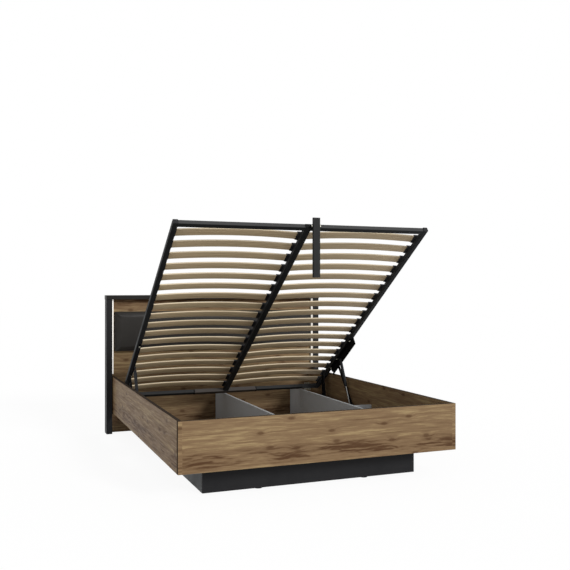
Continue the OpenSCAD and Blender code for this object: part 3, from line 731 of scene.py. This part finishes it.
def circle(matrix, radius, height, steps):
    """Points round a circle about the matrix's Z."""
    return [matrix @ spot(math.tau * i / steps, radius, height) for i in range(steps)]


def lathe(bm, profile, matrix, steps):
    """A turned body about the matrix's Z, from (radius, height) pairs."""
    loft(bm, [circle(matrix, radius, height, steps) for radius, height in profile])


def facing(place, direction):
    """Matrix that puts Z along a direction at a place."""
    return Matrix.Translation(place) @ Vector(direction).to_track_quat("Z", "Y").to_matrix().to_4x4()


def along(node, place, direction):
    """Least and greatest reach of a CAD node along a direction from a place."""
    reach = [(vertex.co - place).dot(direction) for vertex in frame["nodes"][node].data.vertices]
    return min(reach), max(reach)


def solids(node, space=None):
    """Boxes of the separate solids of a CAD node, as (low, high) in the given space."""
    inverse = (space or Matrix()).inverted()
    bm = bmesh.new()
    bm.from_mesh(frame["nodes"][node].data)
    bmesh.ops.remove_doubles(bm, verts=bm.verts, dist=0.00001)
    boxes, waiting = [], set(bm.verts)
    while waiting:
        stack, found = [waiting.pop()], []
        while stack:
            vertex = stack.pop()
            found.append(inverse @ vertex.co)
            for edge in vertex.link_edges:
                other = edge.other_vert(vertex)
                if other in waiting:
                    waiting.remove(other)
                    stack.append(other)
        boxes.append((Vector(map(min, zip(*found))), Vector(map(max, zip(*found)))))
    bm.free()
    return sorted(boxes, key=lambda box: tuple(round(value, 4) for value in box[0]))


BEAD_STEPS = 8


def bead_radius(rng, i, width):
    """Half the width of a weld bead at one of its ripples."""
    return 0.5 * width * (1 + 0.10 * (-1) ** i + rng.uniform(-0.05, 0.05))


def weld_line(bm, start, end, width, seed):
    """A rippled weld bead from one place to another, half sunk in the corner that it fills."""
    rng = random.Random(seed)
    line = end - start
    count = max(4, round(line.length / (0.35 * width)))
    turn = facing(start, line)
    sections = []
    for i in range(count + 1):
        t = i / count
        radius = bead_radius(rng, i, width) * min(1, 0.45 + 3 * min(t, 1 - t))
        sections.append(circle(turn, radius, t * line.length, BEAD_STEPS))
    loft(bm, sections)


def weld_ring(bm, matrix, radius, width, seed):
    """A rippled weld bead round a circle about the matrix's Z."""
    rng = random.Random(seed)
    count = round(math.tau * radius / (0.4 * width))
    rings = []
    for i in range(count):
        section = circle(Matrix(), bead_radius(rng, i, width), 0, BEAD_STEPS)
        ring = [spot(math.tau * i / count, radius + p.x, p.y) for p in section]
        rings.append([bm.verts.new(matrix @ p) for p in ring])
    bridge(bm, rings + rings[:1])


# Boards


def dress_boards():
    """Foils, banding, bare wood and rounded edges on every board of the bed."""
    s = bpy.context.scene.bed_boards
    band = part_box("footboard")[0].z + s.band
    decors = (
        ("footboard", "footboard", "X", (0.31, 0.0, 0.0), band),
        ("side_rail_left", "left rail", "Y", (1.7, 0.4, 0.0), band),
        ("side_rail_right", "right rail", "Y", (4.2, 0.9, 0.0), band),
        ("headboard_panel", "panel", "X", (6.3, 1.3, 0.0), 0.98),
        # The lower board's tone of 0.75 is painted shade, for the shade in the bay behind the raised frame
        ("headboard_lower_board", "lower board", "X", (8.1, 2.2, 0.0), 0.10, 0.75),
    )
    finishes = {walnut("Walnut of the " + name, *look): (node,) for node, name, *look in decors}
    black = melamine("Black board", s.black, 0.55, shade(s.black, 0.5, 0.03))
    top = melamine("Top board", s.top, 0.5, shade(s.top, 0.5, 0.03))
    grey = melamine("Storage board", s.grey, 0.55, shade(s.grey, 1.1))
    # The walls' outer faces get painted shade, at 0.17 of the grey of their inner faces
    wall = melamine("Storage wall", s.grey, 0.55, shade(s.grey, 1.1), outside=0.17)
    pine = raw_wood("Softwood", s.pine, shade(s.pine, 0.62), "Y", 0.009, 0.003)
    finishes |= {
        black: (*pair("headboard_post"), "plinth_front"),
        top: ("headboard_battens",),
        wall: pair("storage_wall"),
        grey: ("storage_divider", *pair("front_rib"), *pair("middle_rib")),
        pine: ("floor_cleats",),
        hardboard(): pair("floor_panel"),
    }
    dress(finishes, s.edge)
    dress({top: ("headboard_top",)}, 1.5 * s.edge)


# Pad and light bars


def pad_block(bm, low, high, round_edge):
    """A block with a crowned face and round edges, as a grid that can swell."""
    columns, rows = 64, 14
    size = high - low
    front = []
    for j in range(rows + 1):
        line = []
        for i in range(columns + 1):
            u, v = i / columns, j / rows
            edge = min(u * size.x, (1 - u) * size.x, v * size.z, (1 - v) * size.z)
            drop = round_edge - math.sqrt(max(0, round_edge**2 - max(0, round_edge - edge) ** 2))
            line.append(bm.verts.new((low.x + u * size.x, low.y + drop, low.z + v * size.z)))
        front.append(line)
    for one, two in zip(front, front[1:]):
        for i in range(columns):
            bm.faces.new((one[i], one[i + 1], two[i + 1], two[i]))
    rim = front[0][:-1] + [line[-1] for line in front[:-1]]
    rim += front[-1][:0:-1] + [line[0] for line in front[:0:-1]]
    back = [bm.verts.new((vertex.co.x, high.y, vertex.co.z)) for vertex in rim]
    bridge(bm, [back, rim])
    bm.faces.new(back)


def swell(thing, settings, wall):
    """Lets the pad's cover swell under pressure, held on the board behind it, and keeps the result."""
    modifiers = thing.modifiers
    remesh = modifiers.new("Remesh", "REMESH")
    remesh.mode = "VOXEL"
    remesh.voxel_size = settings.voxel
    bpy.context.view_layer.objects.active = thing
    bpy.ops.object.modifier_apply(modifier=remesh.name)
    mesh = thing.data
    held = thing.vertex_groups.new(name="held")
    rest = [vertex.co.copy() for vertex in mesh.vertices]
    held.add([v.index for v in mesh.vertices if v.co.y > wall - settings.voxel], 1.0, "REPLACE")
    cloth = modifiers.new("Cloth", "CLOTH")
    cloth.settings.use_pressure = True
    cloth.settings.uniform_pressure_force = settings.pressure
    cloth.settings.vertex_group_mass = held.name
    cloth.settings.effector_weights.gravity = 0
    cloth.point_cache.frame_end = settings.frames
    scene = bpy.context.scene
    for step in range(1, settings.frames + 1):
        scene.frame_set(step)
    bpy.ops.object.modifier_apply(modifier=cloth.name)
    scene.frame_set(1)
    for vertex, start in zip(mesh.vertices, rest):
        moved = vertex.co - start
        if moved.length > settings.swell:
            vertex.co = start + moved * (settings.swell / moved.length)
        vertex.co.y = min(vertex.co.y, wall)


def upholster():
    """The headboard's pad of foam under artificial leather with round edges, and the light bars."""
    s = bpy.context.scene.bed_pad
    low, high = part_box("headboard_pad")
    inset = Vector((s.swell, s.swell * 0.9, s.swell)) * 0.8
    bm = bmesh.new()
    pad_block(bm, low + inset, high - Vector((inset.x, 0, inset.z)), round_edge=0.011)
    pad = finish_mesh(bm, "upholstered_pad", "bed_base", leather(), ["headboard_pad"], 80)
    swell(pad, s, high.y)
    smooth = pad.modifiers.new("Subdivision", "SUBSURF")
    smooth.levels = smooth.render_levels = 1
    aluminium = bpy.context.scene.bed_steel.aluminium
    channel = metal("Anodised aluminium", aluminium, 0.35, [0.5] * 3, (1, 1, 0.02))
    dress({opal(): pair("light_diffuser")}, 0.0012)
    dress({channel: pair("light_channel")}, 0.0004)


# Slats and holders


def slat_arc(s):
    """The bow of a slat: its middle's place across the bed, half its length, its radius and centre."""
    inner, outer = s.middle, FRAME_W / 2 - s.outer
    half = (outer - inner) / 2
    radius = (half**2 + s.rise**2) / (2 * s.rise)
    return (inner + outer) / 2, half, radius, TUBE_H + s.seat + s.rise - radius


def slat_heads(s):
    """The head-side edges of the slats, along the raised frame."""
    pitch = (FRAME_L - s.first - s.last - s.width) / (s.count - 1)
    return [-s.first - i * pitch for i in range(s.count)]


def add_slats(side, sign, seed, material):
    """One column of bowed, layered slats with round long edges."""
    s = bpy.context.scene.bed_slats
    rng = random.Random(seed)
    middle, half, radius, centre = slat_arc(s)
    bm = bmesh.new()
    grain = bm.verts.layers.float_vector.new("grain")
    tone = bm.verts.layers.float.new("tone")
    places = [0, 0.0008] + [i / 26 for i in range(1, 26)] + [0.9992, 1]
    reach = math.asin(half / radius)
    for head in slat_heads(s):
        own_tone, start = rng.random(), rng.uniform(0, 40)
        rings = []
        for t in places:
            shrink = 0.0007 if t in (0, 1) else 0
            a = reach * (2 * t - 1)
            outline = rounded_outline(s.width - 2 * shrink, s.thickness - 2 * shrink, s.round - shrink)
            ring = []
            for across, depth in outline:
                out = radius + s.thickness / 2 + depth
                x, z = sign * (middle + out * math.sin(a)), centre + out * math.cos(a)
                vertex = bm.verts.new(on_lift(x, head - s.width / 2 + across, z))
                vertex[grain] = (start + radius * a, across, depth + s.thickness / 2)
                vertex[tone] = own_tone
                ring.append(vertex)
            rings.append(ring)
        skin(bm, rings)
    node = "slats_" + side
    finish_mesh(bm, "layered_" + node, "lift_frame", material, [node], 50)


def holder(stations, head, s, sign):
    """Sections of a moulded holder through (x, low, high, width) stations, heights above the tubes."""
    middle_y = head - s.width / 2
    sections = []
    for x, low, high, width in stations:
        outline = rounded_outline(width, high - low, 0.0022)
        centre = (low + high) / 2
        sections.append([on_lift(sign * x, middle_y + u, TUBE_H + centre + v) for u, v in outline])
    return sections


def mouth(s, x, depth):
    """Stations of the opening round a slat at x: its rim, and its floor further in."""
    middle, _, radius, centre = slat_arc(s)
    low = centre - TUBE_H + math.sqrt(radius**2 - (x - middle) ** 2)
    clear = 0.0006
    opening = (low - clear, low + s.thickness + clear, s.width + 2 * clear)
    return [(x, *opening), (x + depth, *opening)]


# Shares of a rib's length, with its height above the holder there
RIB_PROFILE = ((0, -0.0006), (0.06, 0.0007), (0.14, 0.0010), (0.86, 0.0010), (0.94, 0.0007), (1, -0.0006))


def top_ribs(bm, start, end, head, s, sign):
    """Three raised ribs along a holder's top, between two (x, height above the tubes) ends."""
    for across in (-0.016, 0, 0.016):
        y = head - s.width / 2 + across
        sections = []
        for t, rise in RIB_PROFILE:
            x = start[0] + (end[0] - start[0]) * t
            z = TUBE_H + start[1] + (end[1] - start[1]) * t + rise
            ring = [(y - 0.0020, z - 0.003), (y + 0.0020, z - 0.003), (y + 0.0014, z), (y - 0.0014, z)]
            sections.append([on_lift(sign * x, v, w) for v, w in ring])
        loft(bm, sections)


def add_holders():
    """Plastic holders: caps on the side tubes and double ones over the middle tube."""
    s = bpy.context.scene.bed_slats
    material = plastic("Holder plastic", s.plastic, 0.48)
    edge = FRAME_W / 2
    tube = edge - TUBE_W
    wide = s.width + s.wider
    nose, out = tube - s.nose, edge - s.inset
    side_stations = [
        (out, 0.0005, 0.0134, wide - 0.002),
        (out - 0.004, 0, 0.0140, wide),
        (tube, 0, 0.0155, wide),
        (nose + 0.003, 0.0033, 0.0167, wide - 0.001),
        (nose, 0.0037, 0.0168, wide - 0.003),
    ]
    for side, sign in SIDES:
        bm = bmesh.new()
        for head in slat_heads(s):
            loft(bm, holder(side_stations + mouth(s, nose, 0.006), head, s, sign))
            top_ribs(bm, (out - 0.004, 0.0138), (nose + 0.005, 0.0163), head, s, sign)
        node = "slat_holders_" + side
        finish_mesh(bm, "moulded_" + node, "lift_frame", material, [node], 35)
    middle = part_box("middle_tube")[1].x
    half = [
        (0.0, 0, 0.0140, wide),
        (middle + 0.002, 0, 0.0152, wide),
        (s.reach - 0.003, 0.0029, 0.0164, wide - 0.001),
        (s.reach, 0.0033, 0.0165, wide - 0.003),
    ]
    half += mouth(s, s.reach, -0.006)
    bm = bmesh.new()
    for head in slat_heads(s):
        left, right = (holder(half, head, s, sign) for sign in (-1, 1))
        # The sections of the left half run the other way along X
        loft(bm, left[:0:-1] + right)
        for sign in (-1, 1):
            top_ribs(bm, (s.reach - 0.005, 0.0160), (0.010, 0.0144), head, s, sign)
    node = "slat_holders_middle"
    finish_mesh(bm, "moulded_" + node, "lift_frame", material, [node], 35)


# Steelwork


def add_welds(paint, dark):
    """Weld beads where the tubes meet, round the bosses of the side tubes and at the sleeve's ends."""
    s = bpy.context.scene.bed_steel
    tube = FRAME_W / 2 - TUBE_W
    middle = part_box("middle_tube")[1].x
    low, high = 0.002, TUBE_H - 0.001
    head, foot = -TUBE_W, TUBE_W - FRAME_L
    run = 0.028
    bm = bmesh.new()
    seed = 0
    for x, y, along_side in ((tube, head, run), (tube, foot, -run), (middle, foot, 0)):
        for sign in (-1, 1):
            seed += 1
            weld_line(bm, on_lift(sign * x, y, low), on_lift(sign * x, y, high), s.bead, seed)
            if along_side:
                start, end = on_lift(sign * x, y, 0), on_lift(sign * x, y + along_side, 0)
                weld_line(bm, start, end, 0.6 * s.bead, seed + 50)
    boss = LIFT.inverted() @ rear_link_tip()
    for sign in (-1, 1):
        place = on_lift(sign * tube, boss.y, boss.z)
        weld_ring(bm, facing(place, X), 0.018, 0.8 * s.bead, 90 + sign)
    finish_mesh(bm, "frame_welds", "lift_frame", paint, smooth_angle=60)
    bm = bmesh.new()
    for sign in (-1, 1):
        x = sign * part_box("head_tube_sleeve")[1].x
        front, corner, back = (on_lift(x, *place) for place in ((-0.031, high), (-0.031, 0), (-0.001, 0)))
        weld_line(bm, front, corner, 2 * s.bead, 70 + sign)
        weld_line(bm, corner, back, 2 * s.bead, 80 + sign)
    finish_mesh(bm, "sleeve_welds", "lift_frame", dark, smooth_angle=60)


def rear_link_tip():
    """Centre of the rear links' round upper ends."""
    end_radius = 0.020
    pivot = Vector(JOINTS["rear_link_pivot"]["pos_m"])
    vertices = frame["nodes"]["rear_link_right"].data.vertices
    far = max((Vector((0, v.co.y, v.co.z)) - pivot for v in vertices), key=lambda arm: arm.length)
    return pivot + far.normalized() * (far.length - end_radius)


def gas_spring(side, paint):
    """Cylinder with a rolled groove and a crimped end, and its eye fitting."""
    node = "gas_cylinder_" + side
    low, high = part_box(node)
    pivot = Vector(JOINTS["lift"]["pos_m"])
    pivot.x = (low.x + high.x) / 2
    axis = Vector(JOINTS["spring_stroke"]["axis"]).normalized()
    radius = (high.x - low.x) / 2
    start, end = along(node, pivot, axis)
    eye_radius, neck_length, groove_depth, groove_width, crimp = 0.010, 0.021, 0.0011, 0.004, 0.006
    eye = end - eye_radius
    top = eye - neck_length
    body = facing(pivot, axis)
    groove = start + 0.022
    profile = [(0.0062, start), (radius - 0.0022, start)]
    profile += [(radius - 0.0006, start + 0.0008), (radius, start + 0.0026)]
    for k in range(9):
        inward = groove_depth * math.sin(math.pi * k / 8)
        profile.append((radius - inward, groove + groove_width * k / 8))
    for k in range(7):
        a = math.radians(90 * k / 6)
        profile.append((radius - crimp * (1 - math.cos(a)), top - crimp + crimp * math.sin(a)))
    bm = bmesh.new()
    lathe(bm, profile, body, 40)
    finish_mesh(bm, "gas_tube_" + side, "spring_cylinders", paint, [node], 35)
    bm = bmesh.new()
    neck = [(0.0048, top - 0.001), (0.0058, top), (0.0058, top + 0.003), (0.0046, top + 0.0042)]
    neck += [(0.0046, eye - eye_radius + 0.0035)]
    lathe(bm, neck, body, 24)
    # The eye's outline: chamfered outside, and slightly countersunk at its bore
    half, bore, chamfer = 0.006, 0.0048, 0.0010
    outline = [(0.0052, -half), (eye_radius - chamfer, -half), (eye_radius, -half + chamfer)]
    outline += [(eye_radius, half - chamfer), (eye_radius - chamfer, half), (0.0052, half)]
    outline += [(bore, half - 0.0006), (bore, -half + 0.0006)]
    across = facing(pivot + axis * eye, X)
    rings = [[bm.verts.new(p) for p in circle(across, *place, 32)] for place in outline]
    bridge(bm, rings + rings[:1])
    finish_mesh(bm, "gas_eye_" + side, "spring_cylinders", paint, smooth_angle=35)


def dress_steel():
    """Powder coat, chrome, zinc and plastic on the lift frame, its gear and its leg."""
    s = bpy.context.scene.bed_steel
    # The fourth argument sets how strong each coat's painted sheen on up-facing faces is
    tube = powder_coat("Tube powder coat", s.tube, 0.5, 0.5)
    gear = powder_coat("Gear powder coat", s.gear, 0.45, gloss=0.0)
    head = powder_coat("Head tube powder coat", s.tube, 0.5, 0.28)
    sleeve = powder_coat("Sleeve powder coat", s.sleeve, 0.5, 0.45)
    paint = powder_coat("Cylinder paint", s.cylinder, 0.32)
    chrome = metal("Chrome", s.chrome, 0.1, shade(s.chrome, 0.85))
    zinc = metal("Zinc plate", s.zinc, 0.34, [0.62, 0.60, 0.50])
    black = plastic("Moulded plastic", bpy.context.scene.bed_slats.plastic, 0.5)
    arms = (*pair("front_arm"), *pair("rear_link"), "frame_pivot_pins")
    finishes = {
        tube: (*pair("side_tube"), "foot_tube", "middle_tube", "support_leg"),
        head: ("head_tube",),
        gear: (*pair("lift_base"), *pair("lift_bracket"), "leg_bracket", *arms),
        sleeve: ("head_tube_sleeve",),
        chrome: pair("gas_rod"),
        zinc: ("corner_brackets", "base_pivot_pins", "leg_bolt"),
        black: ("tube_end_caps", "leg_caps", "glides"),
    }
    dress(finishes, s.edge)
    add_welds(tube, gear)
    for side in ("left", "right"):
        gas_spring(side, paint)
    return zinc


# Fasteners


def cross_outline(arm, half, angle):
    """Distance from a cross's centre to its edge at an angle."""
    least = 1e-6
    c, s = max(least, abs(math.cos(angle))), max(least, abs(math.sin(angle)))
    return max(min(arm / c, half / s), min(half / c, arm / s))


def screw(bm, matrix, head_r, shank_r, reach):
    """Countersunk screw with a cross recess: its head's face at the matrix's origin, its point along -Z."""
    corner = math.atan(0.3)
    quarter = [0, corner, (corner + math.pi / 4) / 2, math.pi / 4]
    quarter += [math.pi / 2 - quarter[2], math.pi / 2 - corner]
    angles = [a + k * math.pi / 2 for k in range(4) for a in quarter]
    arm = head_r * 0.55
    sections = []
    for size, height in ((0.5 * arm, -0.0018), (arm, 0)):
        sections.append([matrix @ spot(a, cross_outline(size, 0.3 * size, a), height) for a in angles])
    profile = [(head_r - 0.0003, 0), (head_r, -0.0003), (shank_r, shank_r - head_r)]
    profile += [(shank_r, -reach + 0.003), (0.0004, -reach)]
    for radius, height in profile:
        sections.append([matrix @ spot(a, radius, height) for a in angles])
    loft(bm, sections)


def add_screws(node, name, body, material):
    """Screws with recessed heads in place of a node's plain ones, heads towards the middle."""
    bm = bmesh.new()
    for low, high in solids(node):
        middle, size = (low + high) / 2, high - low
        index = max(range(3), key=lambda k: size[k])
        side = min(size)
        inward = Vector((0, 0, 0))
        inward[index] = -1 if middle[index] > 0 else 1
        face = middle + inward * size[index] / 2
        screw(bm, facing(face, inward), side / 2, side / 4, size[index])
    finish_mesh(bm, name, body, material, [node], 30)


# Rings of a bolt's head: stretch of the hexagon, share of its corners' reach that is kept, height
BOLT_RINGS = ((1, 1.001, 0.0013), (1, 1.001, 0.0045), (1.02, 0.93, 0.0050), (1.02, 0.86, 0.0052))


def add_bolts(material):
    """Chamfered hexagon heads on washers below the lift brackets."""
    sixth = math.pi / 6
    angles = [math.tau * k / 24 for k in range(24)]
    bm = bmesh.new()
    for low, high in solids("lift_bracket_bolts", LIFT):
        place = Vector(((low.x + high.x) / 2, (low.y + high.y) / 2, high.z))
        down = facing(LIFT @ place, LIFT.to_3x3() @ -Z)
        lathe(bm, [(0.0088, 0), (0.0088, 0.0009), (0.0082, 0.0013), (0.004, 0.0013)], down, 32)
        corner = (high.x - low.x) / 2
        sections = []
        for stretch, kept, height in BOLT_RINGS:
            ring = []
            for a in angles:
                hexagon = corner * math.cos(sixth) / math.cos(a % (2 * sixth) - sixth)
                ring.append(down @ spot(a, min(hexagon * stretch, corner * kept), height))
            sections.append(ring)
        loft(bm, sections)
    finish_mesh(bm, "hexagon_bolts", "lift_frame", material, ["lift_bracket_bolts"], 30)


def add_pin_ends(material):
    """Chamfered buttons on the inner ends of the pins in the base plates."""
    button = [(0.0052, 0), (0.0052, 0.0016), (0.0046, 0.0022), (0.002, 0.0024)]
    bm = bmesh.new()
    for low, high in solids("base_pivot_pins"):
        middle = (low + high) / 2
        inner, inward = (high.x, X) if middle.x < 0 else (low.x, -X)
        lathe(bm, button, facing((inner, middle.y, middle.z), inward), 24)
    finish_mesh(bm, "pin_ends", "bed_base", material, smooth_angle=30)


# Stage


def directly_seen(g):
    """1 for what the camera sees, straight, in a reflection or through a clear thing."""
    path = g.node("LightPath")
    seen = g.math("MAXIMUM", path["Is Camera Ray"], path["Is Glossy Ray"])
    return g.math("MAXIMUM", seen, path["Is Transmission Ray"])


def light_world(s):
    """White to the camera, and a soft light from all around on the bed."""
    world = bpy.data.worlds.new("White surroundings")
    bpy.context.scene.world = world
    world.use_nodes = True
    g = Graph(world.node_tree)
    back = world.node_tree.nodes["Background"]
    g.feed(back.inputs["Color"], (1, 1, 1))
    g.feed(back.inputs["Strength"], directly_seen(g) * (1 - s.sky) + s.sky)


def add_floor(s):
    """A pale floor that the camera sees as white, apart from the bed's shadow."""
    bpy.ops.mesh.primitive_plane_add(size=60)
    floor = bpy.context.object
    floor.name = "floor"
    made = Finish("Pale floor", Roughness=0.9, Specular_IOR_Level=0.0, Emission_Color=(1, 1, 1))
    g = made.graph
    seen = directly_seen(g)
    speckle = g.noise(g.object_point(), 3, 4, 0.6)
    base = g.mix(g.spread(speckle, 0.0, 0.3), s.floor, shade(s.floor, 0.96))
    made.set(Base_Color=g.mix(seen, base, (0.10, 0.10, 0.10)), Emission_Strength=seen * 0.92)
    floor.data.materials.append(made.material)


def add_key(s):
    """A soft lamp from the front right."""
    data = bpy.data.lights.new("Key", "SUN")
    data.energy = s.key
    data.angle = math.radians(s.key_angle)
    lamp = bpy.data.objects.new("Key", data)
    bpy.context.scene.collection.objects.link(lamp)
    rise, turn = math.radians(s.key_rise), math.radians(s.key_turn)
    towards = Vector((math.sin(turn) * math.cos(rise), -math.cos(turn) * math.cos(rise), math.sin(rise)))
    lamp.matrix_world = facing(towards * 8, towards)


def add_camera(s):
    """The photograph's viewpoint, low and left of the footboard."""
    data = bpy.data.cameras.new("Camera")
    data.lens = s.lens
    data.sensor_width = 36
    data.clip_end = 200
    camera = bpy.data.objects.new("Camera", data)
    camera.location = s.eye
    camera.rotation_euler = (math.radians(90 + s.pitch), 0, math.radians(s.yaw))
    bpy.context.scene.collection.objects.link(camera)
    bpy.context.scene.camera = camera


# Operators


class BED_OT_boards(bpy.types.Operator):
    """Gives the boards their foils, edges and bare wood"""

    bl_idname = "bed.boards"
    bl_label = "Dress the boards"

    def execute(self, context):
        dress_boards()
        return {"FINISHED"}


class BED_OT_pad(bpy.types.Operator):
    """Upholsters the headboard's pad and lights the bars beside it"""

    bl_idname = "bed.pad"
    bl_label = "Upholster the headboard"

    def execute(self, context):
        upholster()
        return {"FINISHED"}


class BED_OT_slats(bpy.types.Operator):
    """Makes the bowed slats and their moulded holders"""

    bl_idname = "bed.slats"
    bl_label = "Add the slats"

    def execute(self, context):
        material = slat_veneer()
        for (side, sign), seed in zip(SIDES, (11, 23)):
            add_slats(side, sign, seed, material)
        add_holders()
        return {"FINISHED"}


class BED_OT_steel(bpy.types.Operator):
    """Finishes the lift frame and its gear, and adds welds, gas springs and fasteners"""

    bl_idname = "bed.steel"
    bl_label = "Finish the steelwork"

    def execute(self, context):
        zinc = dress_steel()
        add_screws("corner_screws", "recessed_corner_screws", "bed_base", zinc)
        add_screws("lift_base_screws", "recessed_base_screws", "bed_base", zinc)
        add_bolts(zinc)
        add_pin_ends(zinc)
        return {"FINISHED"}


class BED_OT_stage(bpy.types.Operator):
    """Sets the camera, the lamp, the floor and the surroundings"""

    bl_idname = "bed.stage"
    bl_label = "Set the stage"

    def execute(self, context):
        s = context.scene.bed_stage
        light_world(s)
        add_floor(s)
        add_key(s)
        add_camera(s)
        context.scene.view_settings.view_transform = "Standard"
        return {"FINISHED"}


class BED_PT_panel(bpy.types.Panel):
    """Settings of the bed's dressing, with a button for each group of pieces"""

    bl_label = "Storage bed"
    bl_idname = "BED_PT_panel"
    bl_space_type = "VIEW_3D"
    bl_region_type = "UI"
    bl_category = "Bed"

    def draw(self, context):
        for operator, name in zip(OPERATORS, SETTINGS):
            box = self.layout.box()
            box.operator(operator.bl_idname)
            settings = getattr(context.scene, name)
            for key in settings.__annotations__:
                box.prop(settings, key)


OPERATORS = (BED_OT_boards, BED_OT_pad, BED_OT_slats, BED_OT_steel, BED_OT_stage)


def register():
    for name, settings in SETTINGS.items():
        bpy.utils.register_class(settings)
        setattr(bpy.types.Scene, name, PointerProperty(type=settings))
    for operator in OPERATORS:
        bpy.utils.register_class(operator)
    bpy.utils.register_class(BED_PT_panel)


def unregister():
    bpy.utils.unregister_class(BED_PT_panel)
    for operator in reversed(OPERATORS):
        bpy.utils.unregister_class(operator)
    for name, settings in reversed(SETTINGS.items()):
        delattr(bpy.types.Scene, name)
        bpy.utils.unregister_class(settings)


def main():
    register()
    bpy.ops.bed.boards()
    bpy.ops.bed.pad()
    bpy.ops.bed.slats()
    bpy.ops.bed.steel()
    bpy.ops.bed.stage()


if __name__ == "__main__":
    main()
